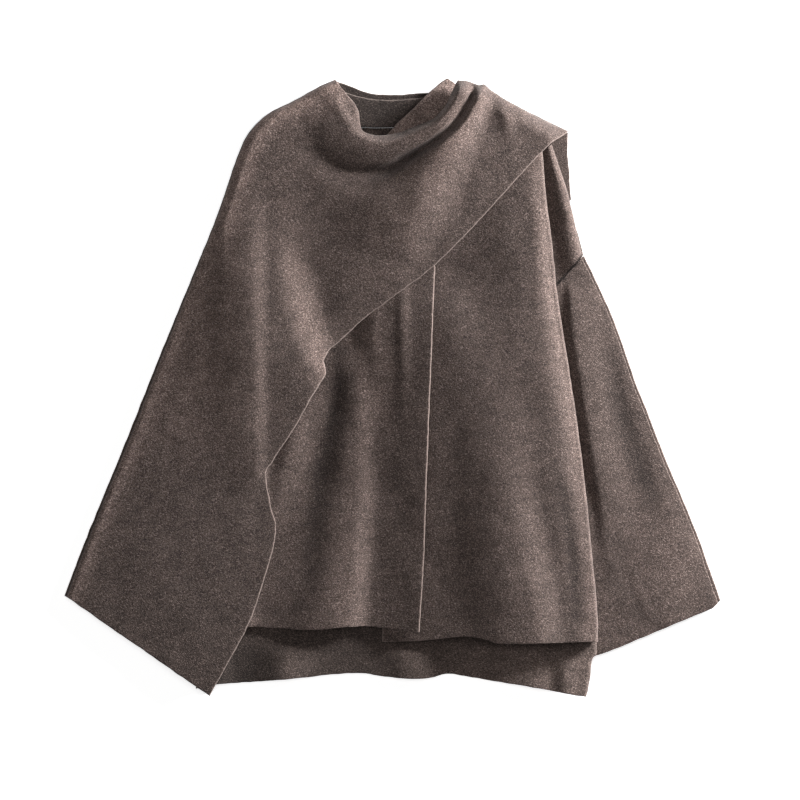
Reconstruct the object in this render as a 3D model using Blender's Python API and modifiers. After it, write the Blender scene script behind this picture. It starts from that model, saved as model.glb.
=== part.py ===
"""Cape cardigan coat in thick felted wool, laid flat on its back with its front up.

Every piece is a sheet of points in millimetres: its outline comes from the edges a maker would
cut, its height from the layers below it, from the edges where the cloth turns down, and from a
table of folds.  The sheet is then thickened to one cloth.  +Y points to the neck and +X to the
wearer's left.  The surface it lies on is z = 0.
"""
from collections import namedtuple

import bmesh
import bpy
import numpy as np

MM = 0.001
MIRROR = (-1, 1)     # swaps left and right
STEPS = 12           # places worked out on a curve between two of its points

# The cloth and how its layers lie
CLOTH = 2.6          # thickness of the felted wool
SEAM_GAP = 0.3       # space kept between two pieces at a seam
ARMHOLE_GAP = 0.36   # a little more along the bent armhole
AIR = 0.6            # space kept between a layer and the one it lies on
FOLD_RADIUS = 3.6    # of the turned side of the left front, at the middle of the cloth
FOLD_RETURN = 18.0   # width of cloth turned under there

# Heights of the middle of the cloth
LAID = CLOTH + AIR
ON_TABLE = CLOTH / 2
AT_SEAM = ON_TABLE + CLOTH + SEAM_GAP
LAYER_1 = ON_TABLE + LAID
LAYER_2 = ON_TABLE + 2 * LAID
LAYER_3 = ON_TABLE + 3 * LAID
FOLD_TOP = LAYER_3 + 2 * FOLD_RADIUS
SHOULDER_TOP = FOLD_TOP + LAID
ON_FACING = AT_SEAM + CLOTH + SEAM_GAP

COLLECTION = "cape_cardigan_coat"
WOOL = (0.118, 0.089, 0.075)
WOOL_INSIDE = (0.070, 0.053, 0.047)

# The left armhole of the back, from the underarm up to the overarm seam, and half the width of
# the back panel at heights on the body
ARMHOLE = [(193.0, 80.0), (205.0, 120.0), (229.3, 159.2)]
HALF_WIDTH = [(-372, 236), (-306, 236), (-180, 220), (-60, 205), (20, 196), (80, 193), (160, 193)]
SLEEVE_UNDER = [(228, -322), (223, -240), (218, -150), (211, -60), (202, 20)]

# Outline of the back layers from the cuff corner up over the shoulder to the neck (x, y)
RIGHT_SILHOUETTE = [(-394.1, -250.1), (-367.9, -181.2), (-323.8, -73.8), (-300.4, -14.9),
                    (-274.2, 51.2), (-235.7, 145.0), (-209.5, 211.1), (-188.8, 271.7),
                    (-177.8, 297.8), (-166.8, 313.0), (-147.5, 330.1), (-120.0, 343.3),
                    (-87.0, 361.3), (-68.0, 369.6)]
LEFT_SILHOUETTE = [(394.1, -255.6), (362.4, -167.4), (326.6, -82.1), (303.2, -21.5),
                   (290.8, 8.9), (268.8, 73.3), (249.5, 117.4), (229.5, 159.5)]

# The right sleeve front and shawl: one row for each section across the cloth, from the cuff up
# the arm, round the neck and on to the left shoulder.  outer is on the overarm seam or the neck
# rim, inner on the free cut edge; a section bends towards via; a corner row is kept sharp.
Section = namedtuple("Section", "outer via inner corner")
CAPE_SECTIONS = [
    Section((-390.8, -251.5), (-305, -311), (-219.1, -370.0), True),
    Section((-376.0, -211.5), (-286, -270), (-196.0, -328.0), False),
    Section((-358.0, -166.5), (-266, -226), (-173.5, -286.3), False),
    Section((-334.5, -108.5), (-245, -174), (-156.2, -238.1), False),
    Section((-308.6, -46.0), (-224, -110), (-139.9, -175.8), False),
    Section((-282.0, 23.0), (-214, -58), (-146.5, -140.0), False),
    Section((-258.0, 83.0), (-205, -10), (-151.8, -104.0), False),
    Section((-240.0, 128.0), (-192, 19), (-144.5, -90.5), False),
    Section((-221.8, 174.0), (-180, 47), (-137.6, -79.1), False),
    Section((-207.8, 210.5), (-166, 75), (-124.0, -59.0), False),
    Section((-187.4, 271.0), (-152, 116), (-111.5, -39.1), False),
    Section((-176.6, 297.0), (-146, 135), (-104.5, -25.5), False),
    Section((-165.9, 312.0), (-150, 150), (-98.5, -14.5), False),
    Section((-146.8, 329.0), (-158, 165), (-92.4, -4.8), False),
    Section((-119.6, 342.2), (-158, 190), (-86.0, 6.0), False),
    Section((-87.2, 360.1), (-158, 222), (-80.0, 16.5), False),
    Section((-68.5, 368.4), (-122, 258), (-82.8, 31.2), True),
    Section((-53.9, 349.1), (-100, 276), (-76.3, 44.2), False),
    Section((-46.6, 340.4), (-84, 283), (-67.0, 52.0), False),
    Section((-41.6, 329.4), (-72, 279), (-57.0, 61.0), False),
    Section((-40.4, 316.6), (-59, 273), (-46.0, 71.5), False),
    Section((-37.4, 307.4), (-46, 266), (-35.0, 81.5), False),
    Section((-29.4, 302.6), (-33, 261), (-22.5, 91.5), False),
    Section((-17.0, 300.7), (-18, 257), (-9.0, 101.0), False),
    Section((-2.0, 302.0), (2, 257), (9.0, 114.6), False),
    Section((15.0, 306.3), (26, 262), (31.0, 130.5), False),
    Section((33.0, 313.6), (48, 270), (54.0, 149.5), False),
    Section((49.0, 320.6), (70, 280), (80.0, 175.0), False),
    Section((61.0, 332.0), (88, 292), (107.0, 203.0), False),
    Section((69.5, 346.0), (104, 306), (133.0, 232.0), False),
    Section((74.4, 358.5), (116, 314), (156.0, 257.5), False),
    Section((78.4, 367.6), (126, 322), (174.0, 277.0), True),
    Section((91.0, 365.6), (141, 324), (187.0, 290.5), False),
    Section((103.0, 361.5), (152, 329), (197.5, 298.5), False),
    Section((109.5, 362.6), (158, 334), (204.5, 303.4), False),
    Section((119.2, 351.6), (168, 338), (210.6, 306.8), True),
]
# Where a piece rises over what lies under it: the start and end of the slope.  The first four are
# measured outward from the back panel's side, or from the left front's side fold; the last two
# are heights on the body and places across it.
BACK_OVER_SLEEVE = (-48.0, -26.0)
FRONT_OVER_BACK = (-70.0, -48.0)
CAPE_OVER_BODY = (42.0, 14.0)
TO_SIDE_FOLD = (84.0, 8.0)
SIDES_LIE_OVER = (-60.0, -120.0)
RIGHT_OVER_LEFT = (-52.0, -20.0)
OVER_SHOULDER = (70.0, 138.0)
PAST_SHOULDER = (184.0, 212.0)

# How wide the cloth rounds down at an edge
OVERARM_ROUND = 18.0
LEFT_ARM_ROUND = 14.0
SHOULDER_ROUND = 13.0
RIM_ROUND = 8.0

NECK_POINT = (-68.5, 368.4)
FIRST_PLEAT = (78.4, 367.6)
CAPE_COLUMNS = 20       # faces across the cape
WIDE_GAP = 30.0         # sections further apart than this get a row between them
RIM_DROP = 6.0          # how far the neck rim turns down inside
TIP_DROP = 9.0          # how far the shawl's tip sinks beyond the left shoulder
UNDER_ROLL = 5.2        # how far the shawl's inside rises from its free edge to the rim roll
NECK_SEAM = 312.0       # where the collar is sewn to the back

# Folds.  line runs up the garment, or from the wearer's right to the left, with the rise of the
# fold at each of its points; left and right are its widths on the two sides of that direction.
Fold = namedtuple("Fold", "name line rise left right")
CAPE_FOLDS = [
    Fold("arm_ridge", [(-178, -170), (-158, -60), (-161, 80), (-158, 215)], (2, 7, 9, 3), 78, 24),
    Fold("chest_ridge", [(-92, 22), (-107, 66), (-125, 130), (-146, 210)], (7, 9, 8, 2), 32, 26),
    Fold("elbow_wave", [(-262, -235), (-236, -110), (-222, 20)], (3, 4, 2), 34, 30),
    Fold("cowl_roll", [(-72, 354), (-59, 338), (-53, 318), (-44, 297), (-18, 286), (6, 289),
                       (26, 297), (46, 306), (62, 318), (74, 333), (84, 350), (91, 366)],
         (2, 7, 11, 14, 16, 17, 17, 17, 16, 15, 13, 11), 30, 24),
    Fold("cowl_hollow", [(-110, 299), (-80, 280), (-48, 264), (-14, 257), (16, 267), (43, 286),
                         (66, 304), (84, 323), (98, 348), (102, 362)],
         (-1, -3, -5, -7, -9, -10, -10, -10, -8, -5), 16, 20),
    Fold("cowl_lower_ridge", [(-146, 290), (-96, 260), (-40, 236), (10, 238), (48, 258)],
         (3, 6, 7, 6, 3), 28, 40),
    Fold("shawl_ridge", [(20, 140), (28, 180), (50, 230), (80, 285), (106, 340)],
         (4, 7, 9, 11, 9), 34, 50),
    Fold("shoulder_dent", [(133, 300), (128, 345)], (-1, -5), 9, 9),
    Fold("shawl_loft", [(-60, 150), (10, 195), (90, 255), (170, 305)], (3, 6, 6, 2), 80, 85),
]
FRONT_RIGHT_FOLDS = [
    Fold("centre_ridge", [(-46, -300), (-42, -240), (-38, -74), (-31, 0), (-27, 80)],
         (13, 12, 11, 7, 0), 38, 30),
    Fold("side_ridge", [(-150, -300), (-124, -200), (-118, -130), (-110, -70)], (5, 5, 4, 1), 34, 26),
    Fold("upper_ridge", [(14, -40), (17, 40), (14, 110)], (1, 4, 2), 16, 18),
]
FRONT_LEFT_FOLDS = [
    Fold("hem_ridge", [(186, -306), (170, -140), (152, 0), (140, 90)], (10, 7, 4, 1), 62, 30),
    Fold("centre_wave", [(84, -306), (80, -180), (84, -60)], (5, 3, 1), 38, 36),
]
SLEEVE_FRONT_FOLDS = [
    Fold("arm_wave", [(352, -284), (318, -222), (284, -147), (255, -75), (238, 50)],
         (6, 6, 6, 5, 2), 30, 34),
    Fold("cuff_wave", [(286, -310), (262, -240), (246, -170)], (4, 3, 1), 16, 20),
]


def smooth(points, count, bias=1.0):
    """Evenly spaced points on a smooth curve through the given ones, closer at its end if biased."""
    corners = np.array(points, dtype=float)
    padded = np.vstack([2 * corners[0] - corners[1], corners, 2 * corners[-1] - corners[-2]])
    step = np.linspace(0.0, 1.0, STEPS, endpoint=False)[:, None]
    run = []
    for before, start, end, after in zip(padded, padded[1:], padded[2:], padded[3:]):
        slope_in = (end - before) / 2
        slope_out = (after - start) / 2
        run.append((2 * step**3 - 3 * step**2 + 1) * start + (step**3 - 2 * step**2 + step) * slope_in
                   + (3 * step**2 - 2 * step**3) * end + (step**3 - step**2) * slope_out)
    run = np.vstack(run + [corners[-1:]])
    wanted = 1 - (1 - np.linspace(0.0, 1.0, count + 1)) ** bias
    place = shares_of(run)
    return np.stack([np.interp(wanted, place, run[:, axis]) for axis in range(run.shape[1])], axis=-1)


def shares_of(line):
    """Each point's share of the way along a line."""
    steps = np.hypot(*np.diff(line[:, :2], axis=0).T)
    length = np.concatenate([[0.0], np.cumsum(steps)])
    return length / length[-1]


def joined(*runs):
    """One edge of a piece, made of runs that meet at corners."""
    return np.vstack([runs[0]] + [run[1:] for run in runs[1:]])


def cut_piece(bottom, top, left, right):
    """A grid of flat points between the four edges of a cut piece."""
    across = ((shares_of(bottom) + shares_of(top)) / 2)[None, :, None]
    up = ((shares_of(left) + shares_of(right)) / 2)[:, None, None]
    low, high = bottom[None], top[None]
    near, far = left[:, None], right[:, None]
    corners = ((1 - across) * (1 - up) * low[:, :1] + across * (1 - up) * low[:, -1:]
               + (1 - across) * up * high[:, :1] + across * up * high[:, -1:])
    return (1 - up) * low + up * high + (1 - across) * near + across * far - corners


def ramp(value, start, end):
    """0 before start, 1 past end, and a soft slope between them; end may be below start."""
    share = np.clip((value - start) / (end - start), 0.0, 1.0)
    return share * share * (3 - 2 * share)


def nearest(points, line):
    """Each point's distance to a line, the nearest place on it, and which side it is on."""
    offset = points[..., None, :2] - line[:, :2]
    distance = np.hypot(offset[..., 0], offset[..., 1])
    place = distance.argmin(axis=-1)
    run = np.gradient(line[:, :2], axis=0)[place]
    reach = np.take_along_axis(offset, place[..., None, None], axis=-2)[..., 0, :]
    side = run[..., 0] * reach[..., 1] - run[..., 1] * reach[..., 0]
    return distance.min(axis=-1), place, side


def fold_heights(points, folds):
    """The height that a table of folds gives at each point."""
    total = np.zeros(points.shape[:2])
    for fold in folds:
        line = smooth([(*place, rise) for place, rise in zip(fold.line, fold.rise)], 60)
        distance, place, side = nearest(points, line)
        width = np.where(side > 0, fold.left, fold.right)
        total += line[place, 2] * np.cos(np.clip(distance / width, 0.0, 1.0) * np.pi / 2) ** 2
    return total


def rounded(distance, width):
    """A quarter round, from 0 at an edge to 1 at width inside it."""
    share = np.clip(distance / width, 0.0, 1.0)
    return np.sqrt(1 - (1 - share) ** 2)


def turned_down(points, heights, line, level, width):
    """Heights that round down to a level where the cloth meets a seam or turns over an edge."""
    distance = nearest(points, smooth(line, 240))[0]
    return level + (heights - level) * rounded(distance, width)


def with_heights(points, heights):
    """The points with their heights as a third column."""
    return np.concatenate([points, heights[..., None]], axis=-1)


def flat(points, height):
    """The points at one height."""
    return with_heights(points, np.full(points.shape[:2], height))


def mirrored(points):
    """Points of the left half, on the right half."""
    return [(-x, y) for x, y in points]


def past_side(points):
    """How far each point lies outside the back panel's side, on the left half."""
    heights, widths = zip(*HALF_WIDTH)
    return points[..., 0] - np.interp(points[..., 1], heights, widths)


def off_seam(points):
    """The sleeve's side of the left armhole, outward of the body's side."""
    run, rise = np.subtract(ARMHOLE[-1], ARMHOLE[0]) / np.hypot(*np.subtract(ARMHOLE[-1], ARMHOLE[0]))
    return [(x + rise * ARMHOLE_GAP, y - run * ARMHOLE_GAP) for x, y in points]


def wool(name, colour):
    """Matt felted wool."""
    material = bpy.data.materials.new(name)
    material.use_nodes = True
    shader = material.node_tree.nodes["Principled BSDF"]
    shader.inputs["Base Color"].default_value = (*colour, 1.0)
    shader.inputs["Roughness"].default_value = 0.95
    shader.inputs["Metallic"].default_value = 0.0
    return material


def sew(name, points, colour=WOOL):
    """A named piece of cloth, one CLOTH thick, whose middle goes through the points."""
    rows, columns = points.shape[0] - 1, points.shape[1] - 1
    shape = bmesh.new()
    bmesh.ops.create_grid(shape, x_segments=columns, y_segments=rows, size=0.5)
    for vertex in shape.verts:
        column = round((vertex.co.x + 0.5) * columns)
        row = round((vertex.co.y + 0.5) * rows)
        vertex.co = points[row, column] * MM
    mesh = bpy.data.meshes.new(name)
    shape.to_mesh(mesh)
    shape.free()
    mesh.shade_smooth()
    piece = bpy.data.objects.new(name, mesh)
    bpy.data.collections[COLLECTION].objects.link(piece)
    piece.data.materials.append(wool(name + "_wool", colour))
    solidify = piece.modifiers.new("cloth", "SOLIDIFY")
    solidify.thickness = CLOTH * MM
    solidify.offset = 0.0


def make_back_panel():
    """The back: flat on the table, but for its sides, which lie over the sleeves' inner edges."""
    hem = smooth([(-236, -361.5), (-208.6, -356.4), (-157.4, -352.9), (-105.7, -348.4), (-75, -344.9),
                  (-37.3, -343.2), (-15, -346.6), (20.8, -349.8), (45.6, -348.7), (64.9, -343.8),
                  (86.9, -346.6), (122.8, -352.6), (177.8, -361.7), (232, -371.5)], 24)
    right_side = joined(smooth([(-236, -361.5), (-232, -306), (-219, -180), (-205, -60), (-196, 20),
                                (-193, 80)], 9),
                        smooth(mirrored(ARMHOLE), 5))
    left_side = joined(smooth([(232, -371.5), (235.4, -359.8), (239.5, -326.8), (244.4, -306),
                               (222, -180), (205, -60), (196, 20), (193, 80)], 9),
                       smooth(ARMHOLE, 5))
    shoulders = joined(smooth([(-229.3, 159.2), (-209, 211), (-188.3, 271.5), (-177.3, 297.4),
                               (-166.4, 312.5), (-147.3, 329.5), (-119.8, 342.8), (-86.8, 360.8),
                               (-68.4, 368.6)], 8),
                       smooth([(-68.4, 368.6), (-63, NECK_SEAM - SEAM_GAP)], 2),
                       smooth([(-63, NECK_SEAM - SEAM_GAP), (79, NECK_SEAM - SEAM_GAP)], 4),
                       smooth([(79, NECK_SEAM - SEAM_GAP), (82, 345)], 1),
                       smooth([(82, 345), (110, 346), (180, 300), (200, 262), (206, 226),
                               (222, 186.6), (229.3, 159.2)], 9))
    points = cut_piece(hem, shoulders, right_side, left_side)
    low_down = ramp(points[..., 1], *SIDES_LIE_OVER)
    over_left = ramp(past_side(points), *BACK_OVER_SLEEVE) * low_down * (LAYER_2 - ON_TABLE)
    over_right = ramp(past_side(points * MIRROR), *BACK_OVER_SLEEVE) * low_down * (LAYER_1 - ON_TABLE)
    sew("back_panel", with_heights(points, ON_TABLE + over_left + over_right), WOOL_INSIDE)


def make_collar():
    """The back neck band: an outer layer, and a facing on it whose cut edge is lower."""
    stand_top = smooth([(-66.6, 367.4), (-50.3, 361.9), (-31.9, 354.6), (-13.6, 351.7), (6.1, 351.5),
                        (23.2, 352.7), (44, 354), (72, 357)], 14)
    stand_foot = smooth([(-61, NECK_SEAM), (72, NECK_SEAM)], 14)
    stand = cut_piece(stand_foot, stand_top, smooth([(-61, NECK_SEAM), (-66.6, 367.4)], 3),
                      smooth([(72, NECK_SEAM), (72, 357)], 3))
    sew("collar_stand", flat(stand, ON_TABLE), WOOL_INSIDE)
    facing_top = smooth([(-64, 357.4), (-50.3, 352.1), (-38, 348.5), (-25.8, 346.2), (-7.4, 345),
                         (10.9, 345.4), (23.2, 346.6), (60, 350)], 14)
    facing_foot = smooth([(-59, NECK_SEAM), (60, NECK_SEAM)], 14)
    facing = cut_piece(facing_foot, facing_top, smooth([(-59, NECK_SEAM), (-64, 357.4)], 3),
                       smooth([(60, NECK_SEAM), (60, 350)], 3))
    sew("collar_facing", flat(facing, AT_SEAM), WOOL_INSIDE)


def make_sleeve_backs():
    """The back layers of both sleeves, flat on the table."""
    cuff = smooth([(-394.1, -250.1), (-310.1, -305.2), (-241.2, -352.1), (-222, -366)], 5)
    inner = smooth([(-222, -366), (-219, -240), (-215, -150), (-211, -60), (-202, 20), (-193.4, 79.8)], 14)
    outer = smooth(RIGHT_SILHOUETTE[:5] + mirrored(off_seam(ARMHOLE[2:])), 14)
    armhole = smooth(mirrored(off_seam(ARMHOLE)), 5)[::-1]
    sew("sleeve_right_back", flat(cut_piece(cuff, armhole, outer, inner), ON_TABLE))
    cuff = smooth([(228, -322), (253.3, -318.6), (325, -289), (385.6, -263.8), (394.1, -255.6)], 5)
    inner = smooth(SLEEVE_UNDER + off_seam(ARMHOLE[:1]), 14)
    outer = smooth(LEFT_SILHOUETTE + off_seam(ARMHOLE[2:]), 14)
    armhole = smooth(off_seam(ARMHOLE), 5)
    sew("sleeve_left_back", flat(cut_piece(cuff, armhole, inner, outer), ON_TABLE))


def make_sleeve_left_front():
    """The front layer of the left sleeve, drawn in at its overarm seam."""
    cuff = smooth([(228, -322), (253.3, -319.2), (325, -289.6), (384.6, -264.9), (390.4, -259)], 9, 1.4)
    inner = smooth(SLEEVE_UNDER + [(193.4, 80), (190.2, 114.8)], 20)
    outer = smooth([(390.4, -259), (359.0, -168.5), (323.2, -83.3), (299.9, -22.8), (287.5, 7.8),
                    (265.6, 72.0), (246.3, 116.0), (226.4, 157.4)], 20)
    armhole = smooth([(190.2, 114.8), (200.0, 126.2), (218.0, 145.7), (226.4, 157.4)], 9, 1.4)
    points = cut_piece(cuff, armhole, inner, outer)
    below_seam = ramp(points[..., 1], 120, 60)
    past_body = ramp(past_side(points), 12, 40)
    heights = LAYER_1 + fold_heights(points, SLEEVE_FRONT_FOLDS) * below_seam * past_body
    heights = turned_down(points, heights, outer, AT_SEAM, LEFT_ARM_ROUND)
    sew("sleeve_left_front", with_heights(points, heights))


def make_front_left_shoulder():
    """The stretch of the left front behind its side fold, over the end of the shawl."""
    ridge = smooth([(226.2, 158.2), (218.4, 194.0), (211.6, 223.0), (206.4, 242.5), (198.5, 265.9),
                    (190.1, 290.6)], 12)
    hidden = smooth([(190, 115.5), (184, 172), (176, 228), (171, 281)], 12)
    armhole = smooth([(190, 115.5), (199.8, 126.9), (217.8, 146.4), (226.2, 158.2)], 6, 1.3)
    top = smooth([(171, 281), (190.1, 290.6)], 6, 1.3)
    points = cut_piece(armhole, top, hidden, ridge)
    over_tail = ramp(points[..., 1], 196, 214)
    heights = LAYER_1 + (LAYER_2 - LAYER_1) * over_tail
    from_ridge = nearest(points, smooth(ridge, 120))[0]
    crest = 3.0 * ramp(from_ridge, 15, 6) * rounded(from_ridge, 6) * ramp(points[..., 1], 150, 190)
    sew("front_left_shoulder", with_heights(points, heights + crest))


def make_shawl_tail():
    """The end of the shawl, hanging behind the left shoulder and tucked under the front of it."""
    outline = smooth([(214.2, 224.6), (212.2, 256.8), (210.2, 280.2), (210.4, 306.0)], 6)
    hidden = smooth([(196, 222), (188, 262), (183, 300)], 6)
    points = cut_piece(smooth([(196, 222), (214.2, 224.6)], 3), smooth([(183, 300), (210.4, 306.0)], 3),
                       hidden, outline)
    sew("shawl_tail", flat(points, LAYER_1))


def make_front_right():
    """The right front, over the left one at the centre."""
    hem = smooth([(-231, -287), (-173, -287.4), (-140, -288.6), (-100, -290.6), (-60, -287.8),
                  (-30, -286.4), (0, -290.0), (32.2, -293.4)], 15)
    side = smooth([(-231, -287), (-216, -180), (-202, -60), (-193, 20), (-189, 80), (-190, 200),
                   (-172, 284)], 18)
    centre = joined(smooth([(32.2, -293.4), (37.3, -211.6), (41.4, -95.9), (45.6, 8.9), (51.1, 145)], 13),
                    smooth([(51.1, 145), (20, 195), (-50, 236), (-94, 278), (-112, 316)], 5))
    shoulder = smooth([(-172, 284), (-112, 316)], 15)
    points = cut_piece(hem, shoulder, side, centre)
    over_left_front = ramp(points[..., 0], *RIGHT_OVER_LEFT)
    over_back_side = ramp(past_side(points * MIRROR), *FRONT_OVER_BACK)
    layer = LAYER_1 + (LAYER_2 - LAYER_1) * np.maximum(over_left_front, over_back_side)
    sew("front_right", with_heights(points, layer + fold_heights(points, FRONT_RIGHT_FOLDS)))


def make_front_left():
    """The left front: it rises to its side, rounds over a fold there and turns under."""
    fold = [(246.1, -304.7), (245.4, -266.6), (238.4, -192.2), (231.6, -123.4), (221.9, -46.2),
            (213.7, 8.9), (198.5, 104.9), (191.4, 172.3), (184.2, 228.2), (179.8, 284)]
    turn_start = CLOTH / 2 + FOLD_RADIUS
    side = smooth([(x - turn_start, y) for x, y in fold], 19)
    hem = smooth([(-12, -305.3), (37.6, -303.4), (86.9, -298.3), (114.5, -302.4), (136.6, -306.6),
                  (246.1 - turn_start, -304.7)], 16)
    centre = smooth([(-12, -305.3), (-14, -200), (-12, -60), (-8, 60), (2, 150)], 19)
    neck = smooth([(2, 150), (62, 212), (112, 264), (179.8 - turn_start, 284)], 16)
    points = cut_piece(hem, neck, centre, side)
    to_fold = np.interp(points[..., 1], side[:, 1], side[:, 0]) - points[..., 0]
    heights = LAYER_1 + (FOLD_TOP - LAYER_1) * ramp(to_fold, *TO_SIDE_FOLD)
    clear_of_edges = ramp(to_fold, 0, 16) * ramp(points[..., 0], 44, 70)
    heights += fold_heights(points, FRONT_LEFT_FOLDS) * clear_of_edges
    panel = with_heights(points, heights)
    turn = np.radians([60.0, 30.0, 0.0, -30.0, -60.0, -90.0])
    shift = np.stack([np.cos(turn), 0 * turn, np.sin(turn) - 1.0], axis=-1) * FOLD_RADIUS
    around = panel[:, -1:] + shift[None]
    under = around[:, -1:] - np.array([[[FOLD_RETURN / 2, 0.0, 0.0], [FOLD_RETURN, 0.0, 0.0]]])
    sew("front_left", np.concatenate([panel, around, under], axis=1))


def cape_grid():
    """The flat points of the cape, section by section, with closer ones at the outer edge."""
    corners = [number for number, section in enumerate(CAPE_SECTIONS) if section.corner]
    places = np.array([(*section.outer, *section.via, *section.inner) for section in CAPE_SECTIONS])
    rows = []
    for first, last in zip(corners, corners[1:]):
        gaps = np.hypot(*np.diff(places[first:last + 1, :2], axis=0).T)
        rows.append(smooth(places[first:last + 1], (last - first) * (2 if gaps.mean() > WIDE_GAP else 1)))
    rows = joined(*rows)[:, None]
    share = (np.linspace(0.0, 1.0, CAPE_COLUMNS + 1) ** 1.2)[None, :, None]
    outer, via, inner = rows[..., :2], rows[..., 2:4], rows[..., 4:]
    return (1 - share) ** 2 * outer + 2 * share * (1 - share) * via + share ** 2 * inner


def make_cape():
    """The right sleeve front and the shawl, in one cloth."""
    points = cape_grid()
    over_body = ramp(past_side(points * MIRROR), *CAPE_OVER_BODY)
    over_shoulder = ramp(points[..., 0], *OVER_SHOULDER)
    heights = LAYER_1 + (LAYER_3 - LAYER_1) * over_body + (SHOULDER_TOP - LAYER_3) * over_shoulder
    heights += fold_heights(points, CAPE_FOLDS) - TIP_DROP * ramp(points[..., 0], *PAST_SHOULDER)
    outer = points[:, 0]
    neck = int(np.hypot(*(outer - NECK_POINT).T).argmin())
    pleat = int(np.hypot(*(outer - FIRST_PLEAT).T).argmin())
    rim_distance = nearest(points, smooth(outer[neck:pleat + 1], 240))[0]
    heights = turned_down(points, heights, outer[:neck + 1], AT_SEAM, OVERARM_ROUND)
    heights -= RIM_DROP * (1 - rounded(rim_distance, RIM_ROUND)) * ramp(points[..., 0], -60, -44)
    shoulder = joined(outer[pleat:], points[-1, :])
    heights = turned_down(points, heights, shoulder, LAYER_2 + AIR, SHOULDER_ROUND)
    sew("cape_right", with_heights(points, heights))


def make_shawl_inner():
    """The stretch of the shawl inside the cowl, from the neck edge down under the roll."""
    free = smooth([(-7.4, 301.5), (4.8, 316), (23.2, 333.1), (44, 354), (65.4, 371.4)], 12)
    hidden = smooth([(9, 299), (32, 307), (52, 314.5), (65, 327.5), (74, 343), (80, 357)], 12)
    foot = smooth([(-7.4, 301.5), (9, 299)], 5)
    top = smooth([(65.4, 371.4), (74.4, 365), (80, 357)], 5)
    points = cut_piece(foot, top, free, hidden)
    slope = np.linspace(0.0, 1.0, 6)[None, :]
    fall = ramp(np.linspace(0.0, 1.0, 13), 0.72, 1.0)[:, None]
    heights = (ON_FACING + UNDER_ROLL * slope) * (1 - fall) + (LAYER_1 + AIR) * fall
    sew("shawl_inner", with_heights(points, heights))


def main():
    """Clear the scene and make every piece."""
    for item in list(bpy.data.objects):
        bpy.data.objects.remove(item, do_unlink=True)
    collection = bpy.data.collections.new(COLLECTION)
    bpy.context.scene.collection.children.link(collection)
    make_back_panel()
    make_collar()
    make_sleeve_backs()
    make_sleeve_left_front()
    make_shawl_tail()
    make_front_left_shoulder()
    make_front_left()
    make_front_right()
    make_shawl_inner()
    make_cape()


main()
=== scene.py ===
# %% [markdown]
# # A cape cardigan coat in felted wool, laid flat
# One garment lies on its back on a pale floor and is seen from straight above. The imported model
# is the fixed frame: it says where each piece lies and how big it is. This script sews a fine
# sheet of cloth over each of its plain solids, and gives the cloth its folds, its cut edges and
# its mixed wool colour.

from collections import namedtuple

import bpy
import numpy as np
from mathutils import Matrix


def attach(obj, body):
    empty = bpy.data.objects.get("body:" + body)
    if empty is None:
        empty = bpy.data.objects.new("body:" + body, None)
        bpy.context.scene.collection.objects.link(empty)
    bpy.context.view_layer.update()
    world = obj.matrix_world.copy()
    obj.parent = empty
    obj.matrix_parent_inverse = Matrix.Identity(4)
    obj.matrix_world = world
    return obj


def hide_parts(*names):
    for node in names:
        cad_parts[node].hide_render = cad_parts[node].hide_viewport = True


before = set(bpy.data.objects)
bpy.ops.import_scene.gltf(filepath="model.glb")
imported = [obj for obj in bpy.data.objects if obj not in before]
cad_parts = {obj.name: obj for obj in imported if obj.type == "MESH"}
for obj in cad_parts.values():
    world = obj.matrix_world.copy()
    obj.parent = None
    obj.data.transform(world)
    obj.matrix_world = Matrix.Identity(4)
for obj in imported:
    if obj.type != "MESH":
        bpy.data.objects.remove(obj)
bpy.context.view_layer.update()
MM = 0.001

# %% [markdown]
# ## Camera, floor and light
# A flat lay is photographed from straight above with a long lens, so that raised cloth isn't
# enlarged. The frame is a square 0.96 m wide. One soft light stands low on the upper right, where
# it picks out the folds, and a large one hangs overhead and fills their shadows. The floor glows
# a little, so that the shadows on it stay as pale as on a white ground in a bright room.

# %% Camera
FRAME_WIDTH = 0.960
FRAME_CENTRE = (0.009, -0.0151)
CLOTH_LEVEL = 0.006        # height at which the frame has its width
LENS = 200.0               # millimetres, as is the width of the sensor
SENSOR = 36.0

camera = bpy.data.objects.new("camera", bpy.data.cameras.new("camera"))
bpy.context.scene.collection.objects.link(camera)
camera.data.lens = LENS
camera.data.sensor_width = SENSOR
camera.location = (*FRAME_CENTRE, CLOTH_LEVEL + FRAME_WIDTH * LENS / SENSOR)
bpy.context.scene.camera = camera
print("camera height:", round(camera.location.z, 3), "m")

# %% Floor and lights
FLOOR_SIZE = 12.0
FLOOR_DROP = 0.0002        # keeps the floor just clear of the cloth
FLOOR_COLOUR = (0.93, 0.93, 0.93, 1.0)
FLOOR_GLOW = 0.75
ROOM_COLOUR = (1.0, 0.99, 0.98, 1.0)
ROOM_STRENGTH = 0.10


def new_material(name, values):
    """A material with values on its shader's own sockets, and that shader."""
    material = bpy.data.materials.new(name)
    material.use_nodes = True
    shader = material.node_tree.nodes["Principled BSDF"]
    for socket, value in values.items():
        shader.inputs[socket].default_value = value
    return material, shader


def soft_light(name, place, size, watts):
    """A square area light at a place, turned to the middle of the floor."""
    lamp = bpy.data.lights.new(name, "AREA")
    lamp.shape = "SQUARE"
    lamp.size = size
    lamp.energy = watts
    light = bpy.data.objects.new(name, lamp)
    light.location = place
    light.rotation_euler = (-light.location).to_track_quat("-Z", "Y").to_euler()
    light.visible_camera = False
    bpy.context.scene.collection.objects.link(light)


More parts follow.
